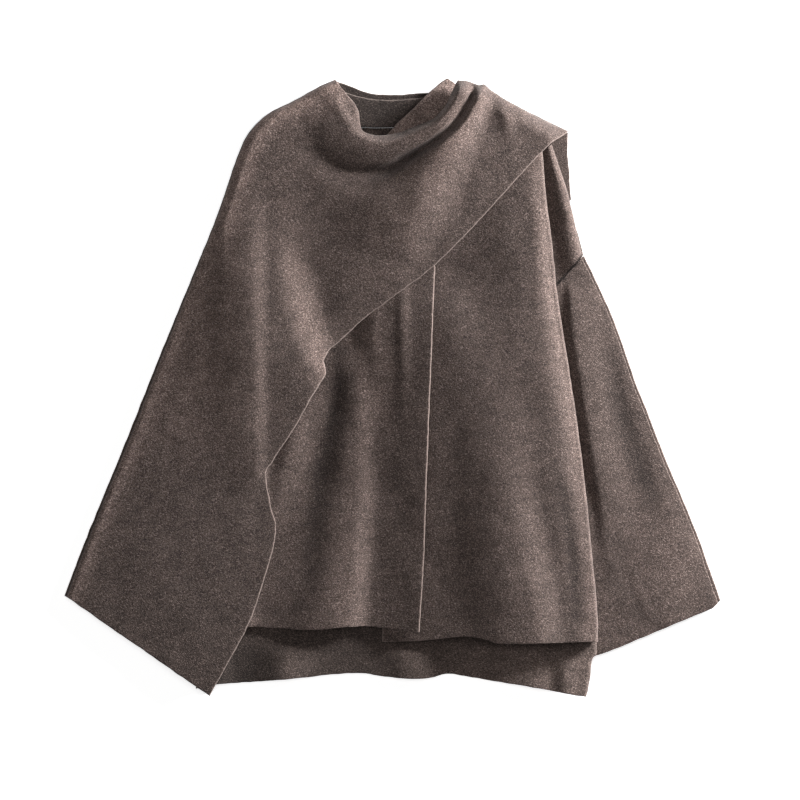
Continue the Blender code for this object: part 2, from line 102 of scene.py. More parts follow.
bpy.ops.mesh.primitive_plane_add(size=FLOOR_SIZE, location=(0, 0, -FLOOR_DROP))
floor = bpy.context.object
floor.name = "floor"
floor.data.materials.append(new_material("pale_floor", {
    "Base Color": FLOOR_COLOUR, "Roughness": 0.9, "Specular IOR Level": 0.2,
    "Emission Color": FLOOR_COLOUR, "Emission Strength": FLOOR_GLOW})[0])
soft_light("key_upper_right", (2.33, 1.24, 0.47), 0.6, 306)
soft_light("fill_overhead", (0.1, 0.2, 3.0), 2.6, 26)

world = bpy.data.worlds.new("soft_room")
bpy.context.scene.world = world
world.use_nodes = True
room = world.node_tree.nodes["Background"]
room.inputs["Color"].default_value = ROOM_COLOUR
room.inputs["Strength"].default_value = ROOM_STRENGTH
bpy.context.scene.view_settings.view_transform = "Standard"

# %% [markdown]
# ## The cloth and its layers
# The wool is 2.6 mm thick. Laid flat, the garment is a stack: back, sleeves, left front, right
# front and shawl. Each height here is the middle of a layer's cloth, and they are those of the
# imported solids, so that no sheet cuts into the next.

# %% Thickness and layer heights, in millimetres
CLOTH = 2.6          # thickness of the felted wool
SEAM_GAP = 0.3       # space kept between two pieces at a seam
ARMHOLE_GAP = 0.36
AIR = 0.6            # space kept between a layer and the one it lies on
FOLD_RADIUS = 3.6    # of the turned side of the left front, at the middle of the cloth
FOLD_RETURN = 18.0   # width of cloth turned under there

LAID = CLOTH + AIR
ON_TABLE = CLOTH / 2
AT_SEAM = ON_TABLE + CLOTH + SEAM_GAP
LAYER_1 = ON_TABLE + LAID
LAYER_2 = ON_TABLE + 2 * LAID
LAYER_3 = ON_TABLE + 3 * LAID
FOLD_TOP = LAYER_3 + 2 * FOLD_RADIUS
SHOULDER_TOP = FOLD_TOP + LAID
ON_FACING = AT_SEAM + CLOTH + SEAM_GAP
print("layers at", ON_TABLE, LAYER_1, LAYER_2, LAYER_3, "mm")

# %% [markdown]
# ## From cut edges to a sheet
# A pattern piece is its four edges. A Coons patch fills them with a grid of points, which is how
# a maker would think of it too: hem, neck and two sides. Close points at a cut edge leave room
# for its thin pale lip, and the rest of the grid is as fine as the smallest fold needs.

# %% Lines
Edge = namedtuple("Edge", "line corners")
CURVE_STEPS = 12     # places worked out between two points of a curve
GRID = 3.4           # size of a face of the cloth
LIPS = (0.7, 1.5, 2.6)   # distances from an edge at which the grid has closer lines


def smooth(points):
    """A smooth curve through the given points, as a close row of places."""
    corners = np.array(points, dtype=float)
    padded = np.vstack([2 * corners[0] - corners[1], corners, 2 * corners[-1] - corners[-2]])
    step = np.linspace(0.0, 1.0, CURVE_STEPS, endpoint=False)[:, None]
    run = []
    for before, start, end, after in zip(padded, padded[1:], padded[2:], padded[3:]):
        slope_in = (end - before) / 2
        slope_out = (after - start) / 2
        run.append((2 * step**3 - 3 * step**2 + 1) * start + (step**3 - 2 * step**2 + step) * slope_in
                   + (3 * step**2 - 2 * step**3) * end + (step**3 - step**2) * slope_out)
    return np.vstack(run + [corners[-1:]])


def lengths_of(line):
    """How far along a line each of its points lies."""
    return np.concatenate([[0.0], np.cumsum(np.hypot(*np.diff(line[:, :2], axis=0).T))])


def edge(*runs):
    """One edge of a piece: smooth runs of points that meet at corners."""
    lines = [smooth(run) for run in runs]
    line = np.vstack([lines[0]] + [run[1:] for run in lines[1:]])
    along = lengths_of(line) / lengths_of(line)[-1]
    ends = np.cumsum([len(run) - 1 for run in lines])[:-1]
    return Edge(line, [along[end] for end in ends])


def at_shares(line, shares):
    """The points at the given shares of the way along a line."""
    along = lengths_of(line) / lengths_of(line)[-1]
    return np.stack([np.interp(shares, along, line[:, axis]) for axis in range(line.shape[1])], axis=-1)


def spaced(first, second, lips, step=GRID):
    """Shares for the grid lines that join two edges' points; lips says which ends get close lines."""
    length = max(lengths_of(first.line)[-1], lengths_of(second.line)[-1])
    fixed = [0.0, 1.0, *first.corners, *second.corners]
    fixed += [lip / length for lip in LIPS if lips[0]] + [1 - lip / length for lip in LIPS if lips[1]]
    fixed = sorted(set(fixed))
    runs = [np.linspace(a, b, max(1, round((b - a) * length / step)), endpoint=False)
            for a, b in zip(fixed, fixed[1:])]
    return np.concatenate(runs + [[1.0]])


def cut_piece(bottom, top, left, right, step=GRID, lips="blrt"):
    """A grid of flat points between four edges, in rows from the bottom up."""
    across = spaced(bottom, top, ("l" in lips, "r" in lips), step)
    up = spaced(left, right, ("b" in lips, "t" in lips), step)
    low, high = at_shares(bottom.line, across)[None], at_shares(top.line, across)[None]
    near, far = at_shares(left.line, up)[:, None], at_shares(right.line, up)[:, None]
    across, up = across[None, :, None], up[:, None, None]
    corners = ((1 - across) * (1 - up) * low[:, :1] + across * (1 - up) * low[:, -1:]
               + (1 - across) * up * high[:, :1] + across * up * high[:, -1:])
    return (1 - up) * low + up * high + (1 - across) * near + across * far - corners


test_patch = cut_piece(edge([(0, 0), (40, 0)]), edge([(0, 30), (40, 30)]),
                       edge([(0, 0), (0, 30)]), edge([(40, 0), (40, 30)]))
print("a 40 by 30 mm patch has", test_patch.shape[:2], "points")

# %% [markdown]
# ## Folds
# A fold is a line with a rise and two widths, each one number or a number for each of its points.
# Its section is a soft cosine bump, so folds can be added up; a foot of 1 instead of 2 leaves a
# sharp crease on that side, as beside a roll of cloth. The same line can carry painted light: a
# painted highlight that makes the cloth paler on a ridge and painted shade that makes it darker
# down in a hollow.

# %% Distances and folds
CHUNK = 4000
SLOPE_ENDS = (-0.12, -0.08, -0.04, 0.0, 0.04, 0.08, 0.12)
Fold = namedtuple("Fold", "name line rise left right bloom left_foot right_foot", defaults=(2, 2))


def ramp(value, start, end):
    """0 before start, 1 past end, and a soft slope between them; end may be below start."""
    share = np.clip((value - start) / (end - start), 0.0, 1.0)
    return share * share * (3 - 2 * share)


def steady(value, start, end):
    """0 before start, 1 past end, and an even slope between them with soft ends."""
    share = (value - start) / (end - start)
    return sum(np.clip(share + shift, 0.0, 1.0) for shift in SLOPE_ENDS) / len(SLOPE_ENDS)


def rounded(distance, width):
    """A quarter round, from 0 at an edge to 1 at width inside it."""
    share = np.clip(distance / width, 0.0, 1.0)
    return np.sqrt(1 - (1 - share) ** 2)


def nearest(points, line):
    """Each point's distance to a line, how far along it the nearest place is, and its side, -1 to 1."""
    flat_points = points[..., :2].reshape(-1, 2)
    start, run = line[:-1, :2], np.diff(line[:, :2], axis=0)
    square = (run ** 2).sum(axis=1)
    found = []
    for first in range(0, len(flat_points), CHUNK):
        offset = flat_points[first:first + CHUNK, None] - start
        share = np.clip((offset * run).sum(axis=2) / square, 0.0, 1.0)
        reach = offset - share[..., None] * run
        distance = np.hypot(reach[..., 0], reach[..., 1])
        best = distance.argmin(axis=1)
        row = np.arange(len(best))
        turn = run[best, 0] * reach[row, best, 1] - run[best, 1] * reach[row, best, 0]
        side = turn / (np.sqrt(square[best]) * distance[row, best] + 1e-9)
        found.append(np.stack([distance[row, best], best + share[row, best], side]))
    return np.concatenate(found, axis=1).reshape(3, *points.shape[:-1])


def folded(points, folds):
    """The height and the painted highlight or shade that a table of folds gives at each point."""
    height = np.zeros(points.shape[:-1])
    bloom = np.zeros(points.shape[:-1])
    for fold in folds:
        sizes = [np.broadcast_to(size, len(fold.line)) for size in (fold.rise, fold.left, fold.right)]
        line = smooth(np.column_stack([fold.line, *sizes]))
        distance, place, side = nearest(points, line)
        rise, left, right = (np.interp(place, np.arange(len(line)), line[:, size])
                             for size in (2, 3, 4))
        width = (left + right) / 2 + side * (left - right) / 2
        foot = (fold.left_foot + fold.right_foot) / 2 + side * (fold.left_foot - fold.right_foot) / 2
        section = np.cos(np.clip(distance / width, 0.0, 1.0) * np.pi / 2) ** foot
        height += rise * section
        # painted light: a painted highlight where a fold rises, painted shade where it sinks
        bloom += fold.bloom * section * rise / np.abs(line[:, 2]).max()
    return height, bloom


def turned_down(points, heights, line, level, width):
    """Heights that bend down to a level where the cloth meets a seam or turns over an edge."""
    short = 1 - np.clip(nearest(points, line)[0] / width, 0.0, 1.0)
    return level + (heights - level) * (1 - short ** 2)


test_fold = Fold("test_ridge", [(20, 0), (20, 30)], 2.0, 10, 10, 0.0)
print("a test fold rises", round(float(folded(test_patch, [test_fold])[0].max()), 2), "mm")

# %% [markdown]
# ## Unevenness
# Laid cloth is never flat. A few long waves in random directions, from a fixed seed, give every
# layer the same gentle unevenness, so layers that lie on each other rise and sink together.

# %% Unevenness
WAVE_COUNT = 18
WAVE_LENGTHS = (0.7, 1.9)            # shortest and longest, in sizes of a bump
WAVE_PEAK = 1.4                      # brings the sum to about -1 to 1
STACK_WAVES = ((0.45, 62, 3), (0.12, 24, 4))     # rise, size of a bump, seed


def waves(points, size, seed):
    """A smooth uneven surface of about -1 to 1, with bumps of about the given size."""
    random = np.random.default_rng(seed)
    total = np.zeros(points.shape[:-1])
    for angle, length, phase in zip(random.uniform(0, 2 * np.pi, WAVE_COUNT),
                                    random.uniform(*WAVE_LENGTHS, WAVE_COUNT) * size,
                                    random.uniform(0, 2 * np.pi, WAVE_COUNT)):
        place = points[..., 0] * np.cos(angle) + points[..., 1] * np.sin(angle)
        total += np.sin(place * 2 * np.pi / length + phase)
    return total / np.sqrt(WAVE_COUNT) / WAVE_PEAK


def uneven(points):
    """How far every upper layer is lifted by the unevenness of the stack."""
    return sum(rise * (1 + waves(points, size, seed)) for rise, size, seed in STACK_WAVES)


print("the stack lifts the test patch by", uneven(test_patch).mean().round(2), "mm")

# %% [markdown]
# ## Mixed wool, made once as node groups
# Close up, the cloth is a felt of dark, middle and pinkish pale fibres, each about a millimetre
# across, with a few long pale ones. Two stretched noises at a crossing angle give fibres without
# the grid look of a weave. One group makes the colour and the nap, and each material sets its own
# three wool colours. A second group marks the thin pale lip where the felt was cut and left raw,
# darkens the cloth beside a seam, and adds each point's painted highlight or painted shade to the
# colour.

# %% Node helpers
def add(tree, kind, inputs=(), **settings):
    """A shader node; each input is a number to set or another node's socket to link."""
    item = tree.nodes.new("ShaderNode" + kind)
    for name, value in settings.items():
        setattr(item, name, value)
    for socket, value in dict(inputs).items():
        if isinstance(value, bpy.types.NodeSocket):
            tree.links.new(value, item.inputs[socket])
        else:
            item.inputs[socket].default_value = value
    return item


def new_group(name, inputs, outputs):
    """An empty node group with named sockets, its input node and its output node."""
    tree = bpy.data.node_groups.new(name, "ShaderNodeTree")
    for way, sockets in (("INPUT", inputs), ("OUTPUT", outputs)):
        for socket, kind in sockets.items():
            tree.interface.new_socket(socket, in_out=way, socket_type="NodeSocket" + kind)
    return tree, tree.nodes.new("NodeGroupInput"), tree.nodes.new("NodeGroupOutput")


def math(tree, operation, first, second=0.0):
    """The result of a Math node."""
    return add(tree, "Math", {0: first, 1: second}, operation=operation).outputs[0]


def scaled(tree, vector, scale):
    """A vector or a colour times a number."""
    return add(tree, "VectorMath", {0: vector, "Scale": scale}, operation="SCALE").outputs[0]


def place_in_mm(tree):
    """Where on its piece the shaded place lies, in millimetres."""
    return scaled(tree, add(tree, "TexCoord").outputs["Object"], 1 / MM)


def between(tree, value, start, end, low=0.0, high=1.0):
    """A value mapped from start..end to low..high, with a soft slope."""
    mapped = add(tree, "MapRange", {"Value": value, "From Min": start, "From Max": end,
                                    "To Min": low, "To Max": high}, interpolation_type="SMOOTHSTEP")
    return mapped.outputs["Result"]


def blended(tree, share, first, second):
    """A mix of two colours."""
    mix = add(tree, "Mix", data_type="RGBA")
    for socket, value in ((0, share), (6, first), (7, second)):
        tree.links.new(value, mix.inputs[socket])
    return mix.outputs[2]


print("node kinds a helper can add:", sum(name.startswith("ShaderNode") for name in dir(bpy.types)))

# %% Group: melange felt
FIBRES = [               # angle, length and width in millimetres, detail and seed of each noise
    (52, 2.3, 0.95, 2.0, 0.0), (-44, 2.0, 0.9, 2.0, 31.0), (20, 2.0, 0.85, 1.0, 57.0),
    (0, 17.0, 13.0, 3.0, 83.0)]
DARK = (0.53, 0.41, 0.0, 0.95)       # from one noise to another, and the shares that they give
PALE = (0.50, 0.70, 0.0, 0.9)
PALE_ON_DARK = (0.40, 0.56, 0.3, 1.0)
CLOUDS = (0.34, 0.66, 0.86, 1.14)
PALE_LIES_HIGH = 0.35


def fibre_noise(tree, place, angle, length, width, detail, seed):
    """A noise stretched into fibres of a length and width in millimetres, lying at an angle."""
    turned = add(tree, "Mapping", {"Vector": place, "Rotation": (0.0, 0.0, np.radians(angle)),
                                   "Location": (seed, 2 * seed, 3 * seed)})
    drawn = add(tree, "VectorMath", {0: turned.outputs[0], 1: (1 / length, 1 / width, 1 / width)},
                operation="MULTIPLY")
    noise = add(tree, "TexNoise", {"Vector": drawn.outputs[0], "Scale": 1.0, "Detail": detail,
                                   "Roughness": 0.6})
    return noise.outputs["Fac"]


felt, felt_in, felt_out = new_group("melange_felt",
                                    {"Dark": "Color", "Middle": "Color", "Pale": "Color"},
                                    {"Color": "Color", "Height": "Float"})
in_mm = place_in_mm(felt)
first_lay, second_lay, pale_fibres, clouds = (fibre_noise(felt, in_mm, *fibres) for fibres in FIBRES)
both_lays = math(felt, "MULTIPLY", math(felt, "ADD", first_lay, second_lay), 0.5)
pale_share = math(felt, "MULTIPLY", between(felt, pale_fibres, *PALE),
                  between(felt, both_lays, *PALE_ON_DARK))
mixed = blended(felt, between(felt, both_lays, *DARK),
                felt_in.outputs["Middle"], felt_in.outputs["Dark"])
mixed = blended(felt, pale_share, mixed, felt_in.outputs["Pale"])
felt.links.new(scaled(felt, mixed, between(felt, clouds, *CLOUDS)), felt_out.inputs["Color"])
nap = math(felt, "ADD", both_lays, math(felt, "MULTIPLY", pale_share, PALE_LIES_HIGH))
felt.links.new(nap, felt_out.inputs["Height"])
print("melange felt:", len(felt.nodes), "nodes")

# %% Group: cut lip, seam shade and painted light
FRAY = (0, 3.2, 3.2, 3.0, 11.0)      # the five values of its noise, as for the fibres
FRAY_DEPTH = 4.2                     # how far the fray moves the lip, in millimetres
LIP_ENDS = (1.25, 0.65)              # in widths of the lip
LIP_SHARE = 0.62
SEAM_SHADE = (0.3, 2.0, 0.35, 1.0)   # distances from a seam, and the shade at both

lip_and_light, lip_and_light_in, lip_and_light_out = new_group(
    "raw_edge_and_bloom",
    {"Color": "Color", "Lip Color": "Color", "Lip Width": "Float"}, {"Color": "Color"})
edge_distance, seam_distance, bloom = (
    add(lip_and_light, "Attribute", attribute_name=name).outputs["Fac"] for name in ("edge", "seam", "bloom"))
fray = math(lip_and_light, "SUBTRACT", fibre_noise(lip_and_light, place_in_mm(lip_and_light), *FRAY), 0.5)
frayed = math(lip_and_light, "ADD", edge_distance, math(lip_and_light, "MULTIPLY", fray, FRAY_DEPTH))
lip = between(lip_and_light, math(lip_and_light, "DIVIDE", frayed, lip_and_light_in.outputs["Lip Width"]), *LIP_ENDS)
# painted light: each point's painted highlight or shade makes its colour lighter or darker
with_painted_light = scaled(lip_and_light, lip_and_light_in.outputs["Color"], math(lip_and_light, "ADD", bloom, 1.0))
with_lip = blended(lip_and_light, math(lip_and_light, "MULTIPLY", lip, LIP_SHARE), with_painted_light,
                   lip_and_light_in.outputs["Lip Color"])
with_seam_shade = scaled(lip_and_light, with_lip, between(lip_and_light, seam_distance, *SEAM_SHADE))
lip_and_light.links.new(with_seam_shade, lip_and_light_out.inputs["Color"])
print("edge and bloom:", len(lip_and_light.nodes), "nodes")

# %% The wools
Wool = namedtuple("Wool", "dark middle pale lip")
OUTSIDE = Wool((0.026, 0.019, 0.017, 1), (0.082, 0.058, 0.050, 1), (0.26, 0.197, 0.176, 1),
               (0.25, 0.192, 0.170, 1))
INSIDE = Wool((0.020, 0.015, 0.013, 1), (0.062, 0.045, 0.039, 1), (0.19, 0.144, 0.127, 1),
              (0.17, 0.132, 0.115, 1))
RAW = Wool(OUTSIDE.middle, (0.17, 0.135, 0.115, 1), OUTSIDE.lip, OUTSIDE.lip)
LIP_WIDTH = 1.1          # of the pale raw edge, seen from above
RAW_LIP = 0.1            # on the cut side of the cloth, which is pale all over
NAP = {"Distance": 0.5 * MM, "Strength": 0.9}
MATT = {"Roughness": 0.95, "Specular IOR Level": 0.15, "Sheen Weight": 0.12, "Sheen Roughness": 0.6}


def felted_wool(name, wool, lip_width):
    """Matt felted wool with a soft sheen from its nap."""
    material, shader = new_material(name, MATT)
    tree = material.node_tree
    cloth = add(tree, "Group", {"Dark": wool.dark, "Middle": wool.middle, "Pale": wool.pale},
                node_tree=felt)
    edges = add(tree, "Group", {"Color": cloth.outputs["Color"], "Lip Color": wool.lip,
                                "Lip Width": lip_width}, node_tree=lip_and_light)
    bump = add(tree, "Bump", {"Height": cloth.outputs["Height"], **NAP})
    tree.links.new(edges.outputs["Color"], shader.inputs["Base Color"])
    tree.links.new(bump.outputs["Normal"], shader.inputs["Normal"])
    return material


wool_face = felted_wool("wool_face", OUTSIDE, LIP_WIDTH)
wool_inside = felted_wool("wool_inside", INSIDE, LIP_WIDTH)
cut_edge = felted_wool("cut_edge", RAW, RAW_LIP)
print("materials:", wool_face.name, wool_inside.name, cut_edge.name)

# %% [markdown]
# ## From a sheet to cloth
# Solidify gives a sheet its thickness, half on each side. At a raw edge the felt is pressed thin
# and round, so a vertex group makes the cloth thinner there. Each point also keeps how far it is
# from a raw edge and from a seam, and how much painted light or painted shade its colour gets;
# the material reads those numbers.

# %% Sewing
WANDER = 0.3         # how far a cut line wanders, hand cut in soft felt
FAR = 99.0           # a distance that means no edge is near
EDGE_THIN = 0.45     # share of the thickness left at a raw edge
EDGE_ROUND = 2.4     # width over which it rounds up to the full thickness
FULL = 0.999         # share of it from which a point counts as full
HEM_FAINTER = 0.6    # how much narrower the pale lip of a hem is
PAINTED_LIGHT_RANGE = (-0.5, 1.6)
WANDER_WAVES = ((15, 11), (15, 12))      # size of a bump and seed, across and along


def wandered(points):
    """The points shifted by one slow uneven field, so that edges waver and seams still meet."""
    shift = np.stack([waves(points, *wave) for wave in WANDER_WAVES], axis=-1) * WANDER
    return np.concatenate([points[..., :2] + shift, points[..., 2:]], axis=-1)


def closest(points, lines):
    """Each point's distance to the nearest of some lines."""
    far = np.full(points.shape[:-1], FAR)
    return np.min([nearest(points, line)[0] for line in lines] + [far], axis=0)


def cloth_area(points, kept):
    """The area of the kept faces of a sheet, in square metres."""
    first, second = points[1:, 1:] - points[:-1, :-1], points[1:, :-1] - points[:-1, 1:]
    return float(np.linalg.norm(np.cross(first, second), axis=-1)[kept].sum()) / 2 * MM**2


def sew(node, points, heights, material=wool_face, cut=(), hems=(), seams=(), bloom=0.0,
        kept=True):
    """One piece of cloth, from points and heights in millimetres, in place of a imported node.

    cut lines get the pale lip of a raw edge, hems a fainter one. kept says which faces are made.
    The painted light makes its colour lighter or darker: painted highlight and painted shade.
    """
    rows, columns = points.shape[:2]
    points = np.dstack([points[..., :2], np.broadcast_to(heights, (rows, columns))])
    number = np.arange(rows * columns).reshape(rows, columns)
    faces = np.stack([number[:-1, :-1], number[:-1, 1:], number[1:, 1:], number[1:, :-1]], axis=-1)
    kept = kept & np.ones(faces.shape[:2], dtype=bool)
    used, faces = np.unique(faces[kept], return_inverse=True)
    mesh = bpy.data.meshes.new(node + "_cloth")
    places = (wandered(points) * MM).reshape(-1, 3)[used]
    mesh.from_pydata(places.tolist(), [], faces.reshape(-1, 4).tolist())
    mesh.shade_smooth()
    edge_distance = np.minimum(closest(points, cut), closest(points, hems) + HEM_FAINTER)
    # each point keeps its distances to a raw edge and a seam, and its painted light or shade
    for name, values in (("edge", edge_distance), ("seam", closest(points, seams)),
                         ("bloom", np.clip(bloom + np.zeros((rows, columns)), *PAINTED_LIGHT_RANGE))):
        values = values.ravel()[used].astype(np.float32)
        mesh.attributes.new(name, "FLOAT", "POINT").data.foreach_set("value", values)
    piece = bpy.data.objects.new(node + "_cloth", mesh)
    bpy.context.scene.collection.objects.link(piece)
    mesh.materials.append(material)
    mesh.materials.append(cut_edge)
    body = piece.vertex_groups.new(name="body")
    share = (EDGE_THIN + (1 - EDGE_THIN) * rounded(edge_distance, EDGE_ROUND)).ravel()[used]
    full = share > FULL
    body.add(np.flatnonzero(full).tolist(), 1.0, "REPLACE")
    for index in np.flatnonzero(~full):
        body.add([int(index)], float(share[index]), "REPLACE")
    solidify = piece.modifiers.new("cloth", "SOLIDIFY")
    solidify.thickness = CLOTH * MM
    solidify.offset = 0.0
    solidify.vertex_group = "body"
    solidify.material_offset_rim = 1
    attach(piece, "root")
    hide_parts(node)


patch_area = cloth_area(np.dstack([test_patch, uneven(test_patch)]), kept=True)
print("the test patch is cut from", round(patch_area * 1e6), "mm2 of cloth")

# %% [markdown]
# ## The body's side and the left armhole
# The pieces of the left half share two lines: the side of the body, which says where a layer
# rises over the next, and the armhole, where the sleeve is sewn to the body.

# %% Shared lines
MIRROR = (-1, 1)
ARMHOLE = [(193.0, 80.0), (205.0, 120.0), (229.3, 159.2)]
HALF_WIDTH = [(-372, 236), (-306, 236), (-180, 220), (-60, 205), (20, 196), (80, 193), (160, 193)]
SLEEVE_UNDER = [(228, -322), (223, -240), (218, -150), (211, -60), (202, 20)]
NECK_SEAM = 312.0
FOLD_LINE = [            # where the left front is folded under at its side
    (246.1, -304.7), (245.4, -266.6), (238.4, -192.2), (231.6, -123.4), (221.9, -46.2), (213.7, 8.9),
    (198.5, 104.9), (191.4, 172.3), (184.2, 228.2), (179.8, 284)]
FREE_EDGE = [            # the right front's edge, up to the shawl
    (32.2, -293.4), (37.3, -211.6), (41.4, -95.9), (45.6, 8.9), (51.1, 145)]
CUT_SHORT = 2.0          # where two sides meet in a point, how much of the point is left off
TINY = 1e-6              # keeps a share of two distances from failing where both are 0
SMALL_GRID = 2.4         # size of a face of a small piece
BACK_GRID = 4.6          # and of one that lies flat underneath


def mirrored(points):
    """Points of the left half, on the right half."""
    return [(-x, y) for x, y in points]


def past_side(points):
    """How far each point lies outside the back panel's side, on the left half."""
    heights, widths = zip(*HALF_WIDTH)
    return points[..., 0] - np.interp(points[..., 1], heights, widths)


def off_seam(points):
    """The sleeve's side of the left armhole."""
    whole = np.subtract(ARMHOLE[-1], ARMHOLE[0])
    run, rise = whole / np.hypot(*whole)
    return [(x + rise * ARMHOLE_GAP, y - run * ARMHOLE_GAP) for x, y in points]


def before_end(run):
    """A run of points that stops a little short of its last one."""
    last, end = np.array(run[-2:], dtype=float)
    return run[:-1] + [tuple(end + (last - end) * CUT_SHORT / np.hypot(*(last - end)))]


print("armhole:", ARMHOLE[0], "to", ARMHOLE[-1])

# %% [markdown]
# ## Back
# The back is one large piece, longer than the fronts, and it is flat because it carries all the
# rest. Only its sides lie over the sleeves' inner edges. Its inside shows in the neck and below
# the hems of the fronts. The grid's rows go on past the neck line at the two shoulders, and the
# faces between them are left out for the neck.

# %% Back panel
BACK_OVER_SLEEVE = (-48.0, -26.0)
SIDES_LIE_OVER = (-60.0, -120.0)
BELOW_FRONTS = (-300.0, -322.0)      # heights on the body past which the back's hem is free to wave
HEM_PAINTED_LIGHT = 0.8                      # painted light on its left half, against the shadow of the left front's hem
HEM_PAINTED_LIGHT_FROM = (20.0, 80.0)
HEM_PAINTED_SHADE = 0.4                       # painted shade on its right end, below the right front's hem
HEM_PAINTED_SHADE_FROM = (-120.0, -150.0)
SHOULDER_ROWS = 12
BACK_HEM_FOLDS = [
    Fold("right_wave", [(-133, -365), (-128, -320)], 4.5, 42, 46, 0.35),
    Fold("middle_wave", [(22, -365), (20, -320)], 5.0, 44, 44, 0.4),
    Fold("left_wave", [(172, -375), (170, -320)], 5.5, 60, 60, 0.35),
]

back_hem = edge([(-236, -361.5), (-208.6, -356.4), (-157.4, -352.9), (-105.7, -348.4), (-75, -344.9),
                 (-37.3, -343.2), (-15, -346.6), (20.8, -349.8), (45.6, -348.7), (64.9, -343.8),
                 (86.9, -346.6), (122.8, -352.6), (177.8, -361.7), (232, -371.5)])
back_neck = NECK_SEAM - SEAM_GAP
right_end, right_of_neck, left_of_neck, left_end = (
    (x, back_neck) for x in (-167.0, -63.0, 79.0, 162.5))
back_right = edge([(-236, -361.5), (-232, -306), (-219, -180), (-205, -60), (-196, 20), (-193, 80)],
                  mirrored(ARMHOLE),
                  [(-229.3, 159.2), (-209, 211), (-188.3, 271.5), (-177.3, 297.4), right_end])
back_left = edge([(232, -371.5), (235.4, -359.8), (239.5, -326.8), (244.4, -306), (222, -180),
                  (205, -60), (196, 20), (193, 80)],
                 ARMHOLE, [(229.3, 159.2), (222, 186.6), (206, 226), (200, 262), (180, 300), left_end])
neck_line = edge([right_end, right_of_neck], [right_of_neck, left_of_neck], [left_of_neck, left_end])
right_shoulder = edge([(-165.6, 313.8), (-147.3, 329.5), (-119.8, 342.8), (-86.8, 360.8),
                       (-68.4, 368.6)])
left_shoulder = edge([(82, 345), (110, 346), (138, 329), (161, 313.8)])


def shoulder_rows(foot, top):
    """Rows of points from a stretch of the neck line up to the shoulder's edge above it."""
    high = at_shares(top.line, lengths_of(foot) / lengths_of(foot)[-1])
    up = np.linspace(0, 1, SHOULDER_ROWS + 1)[1:, None, None]
    return (1 - up) * foot + up * high


body = cut_piece(back_hem, neck_line, back_right, back_left, BACK_GRID, lips="b")
right_columns, left_columns = (int(np.abs(body[-1, :, 0] - end[0]).argmin())
                               for end in (right_of_neck, left_of_neck))
shoulders = np.repeat(body[-1:], SHOULDER_ROWS, axis=0)
shoulders[:, :right_columns + 1] = shoulder_rows(body[-1, :right_columns + 1], right_shoulder)
shoulders[:, left_columns:] = shoulder_rows(body[-1, left_columns:], left_shoulder)
points = np.concatenate([body, shoulders])
kept = np.ones((len(points) - 1, points.shape[1] - 1), dtype=bool)
kept[len(body) - 1:, right_columns:left_columns] = False
across, along = points[..., 0], points[..., 1]
low_down = ramp(along, *SIDES_LIE_OVER)
over_left = ramp(past_side(points), *BACK_OVER_SLEEVE) * low_down * (LAYER_2 - ON_TABLE)
over_right = ramp(past_side(points * MIRROR), *BACK_OVER_SLEEVE) * low_down * (LAYER_1 - ON_TABLE)
raised, bloom = folded(points, BACK_HEM_FOLDS)
below_fronts = ramp(along, *BELOW_FRONTS)
# painted light on the left of the visible hem, painted shade at its right end
bloom += HEM_PAINTED_LIGHT * ramp(across, *HEM_PAINTED_LIGHT_FROM) - HEM_PAINTED_SHADE * ramp(across, *HEM_PAINTED_SHADE_FROM)
heights = ON_TABLE + over_left + over_right + raised * below_fronts
sew("back_panel", points, heights, wool_inside, bloom=bloom * below_fronts,
    hems=[back_hem.line, back_left.line], seams=[right_shoulder.line], kept=kept)

# %% [markdown]
# ## Back neck band
# A band stands at the back neck, folded flat here. Its outer layer shows above, and its facing's
# cut edge runs a little lower. Both are sewn to the back along one straight seam.

# %% Collar
NECK_BAND = [            # node, cut edge, ends of its foot, height, painted shade, and what lies under it
    ("collar_stand", [(-66.6, 367.4), (-50.3, 361.9), (-31.9, 354.6), (-13.6, 351.7), (6.1, 351.5),
                      (23.2, 352.7), (44, 354), (72, 357)], (-61, 72), ON_TABLE, -0.45, []),
    ("collar_facing", [(-64, 357.4), (-50.3, 352.1), (-38, 348.5), (-25.8, 346.2), (-7.4, 345),
                       (10.9, 345.4), (23.2, 346.6), (60, 350)],
     (-59, 60), AT_SEAM, -0.4, ["collar_stand_cloth"]),
]
# painted shade darkens the band, which lies down in the neck hollow
for node, top, ends, level, bloom, under in NECK_BAND:
    start, end = ((x, NECK_SEAM) for x in ends)
    cut_line, foot = edge(top), edge([start, end])
    points = cut_piece(foot, cut_line, edge([start, top[0]]), edge([end, top[-1]]), SMALL_GRID)
    sew(node, points, level, wool_inside, cut=[cut_line.line], seams=[foot.line], bloom=bloom)

# %% [markdown]
# ## Sleeves
# A sleeve laid flat has a back layer on the floor and a front layer on it. The seam that joins
# them runs over the arm, so it lies on the outline. The left front layer is drawn in there and
# leaves a pale strip of the back layer outside it. The right front layer is cut in one with the
# shawl, so it comes last.

# %% Sleeve backs
RIGHT_SILHOUETTE = [(-394.1, -250.1), (-367.9, -181.2), (-323.8, -73.8), (-300.4, -14.9),
                    (-274.2, 51.2)]
LEFT_SILHOUETTE = [(394.1, -255.6), (362.4, -167.4), (326.6, -82.1), (303.2, -21.5), (290.8, 8.9),
                   (268.8, 73.3), (249.5, 117.4), (229.5, 159.5)]
RIGHT_OVERARM = [(-390.8, -251.5), (-376.0, -211.5), (-358.0, -166.5), (-334.5, -108.5),
                 (-308.6, -46.0), (-282.0, 23.0), (-258.0, 83.0), (-240.0, 128.0), (-221.8, 174.0)]
LEFT_OVERARM = [(390.4, -259), (359.0, -168.5), (323.2, -83.3), (299.9, -22.8), (287.5, 7.8),
                (265.6, 72.0), (246.3, 116.0), (226.4, 157.4)]

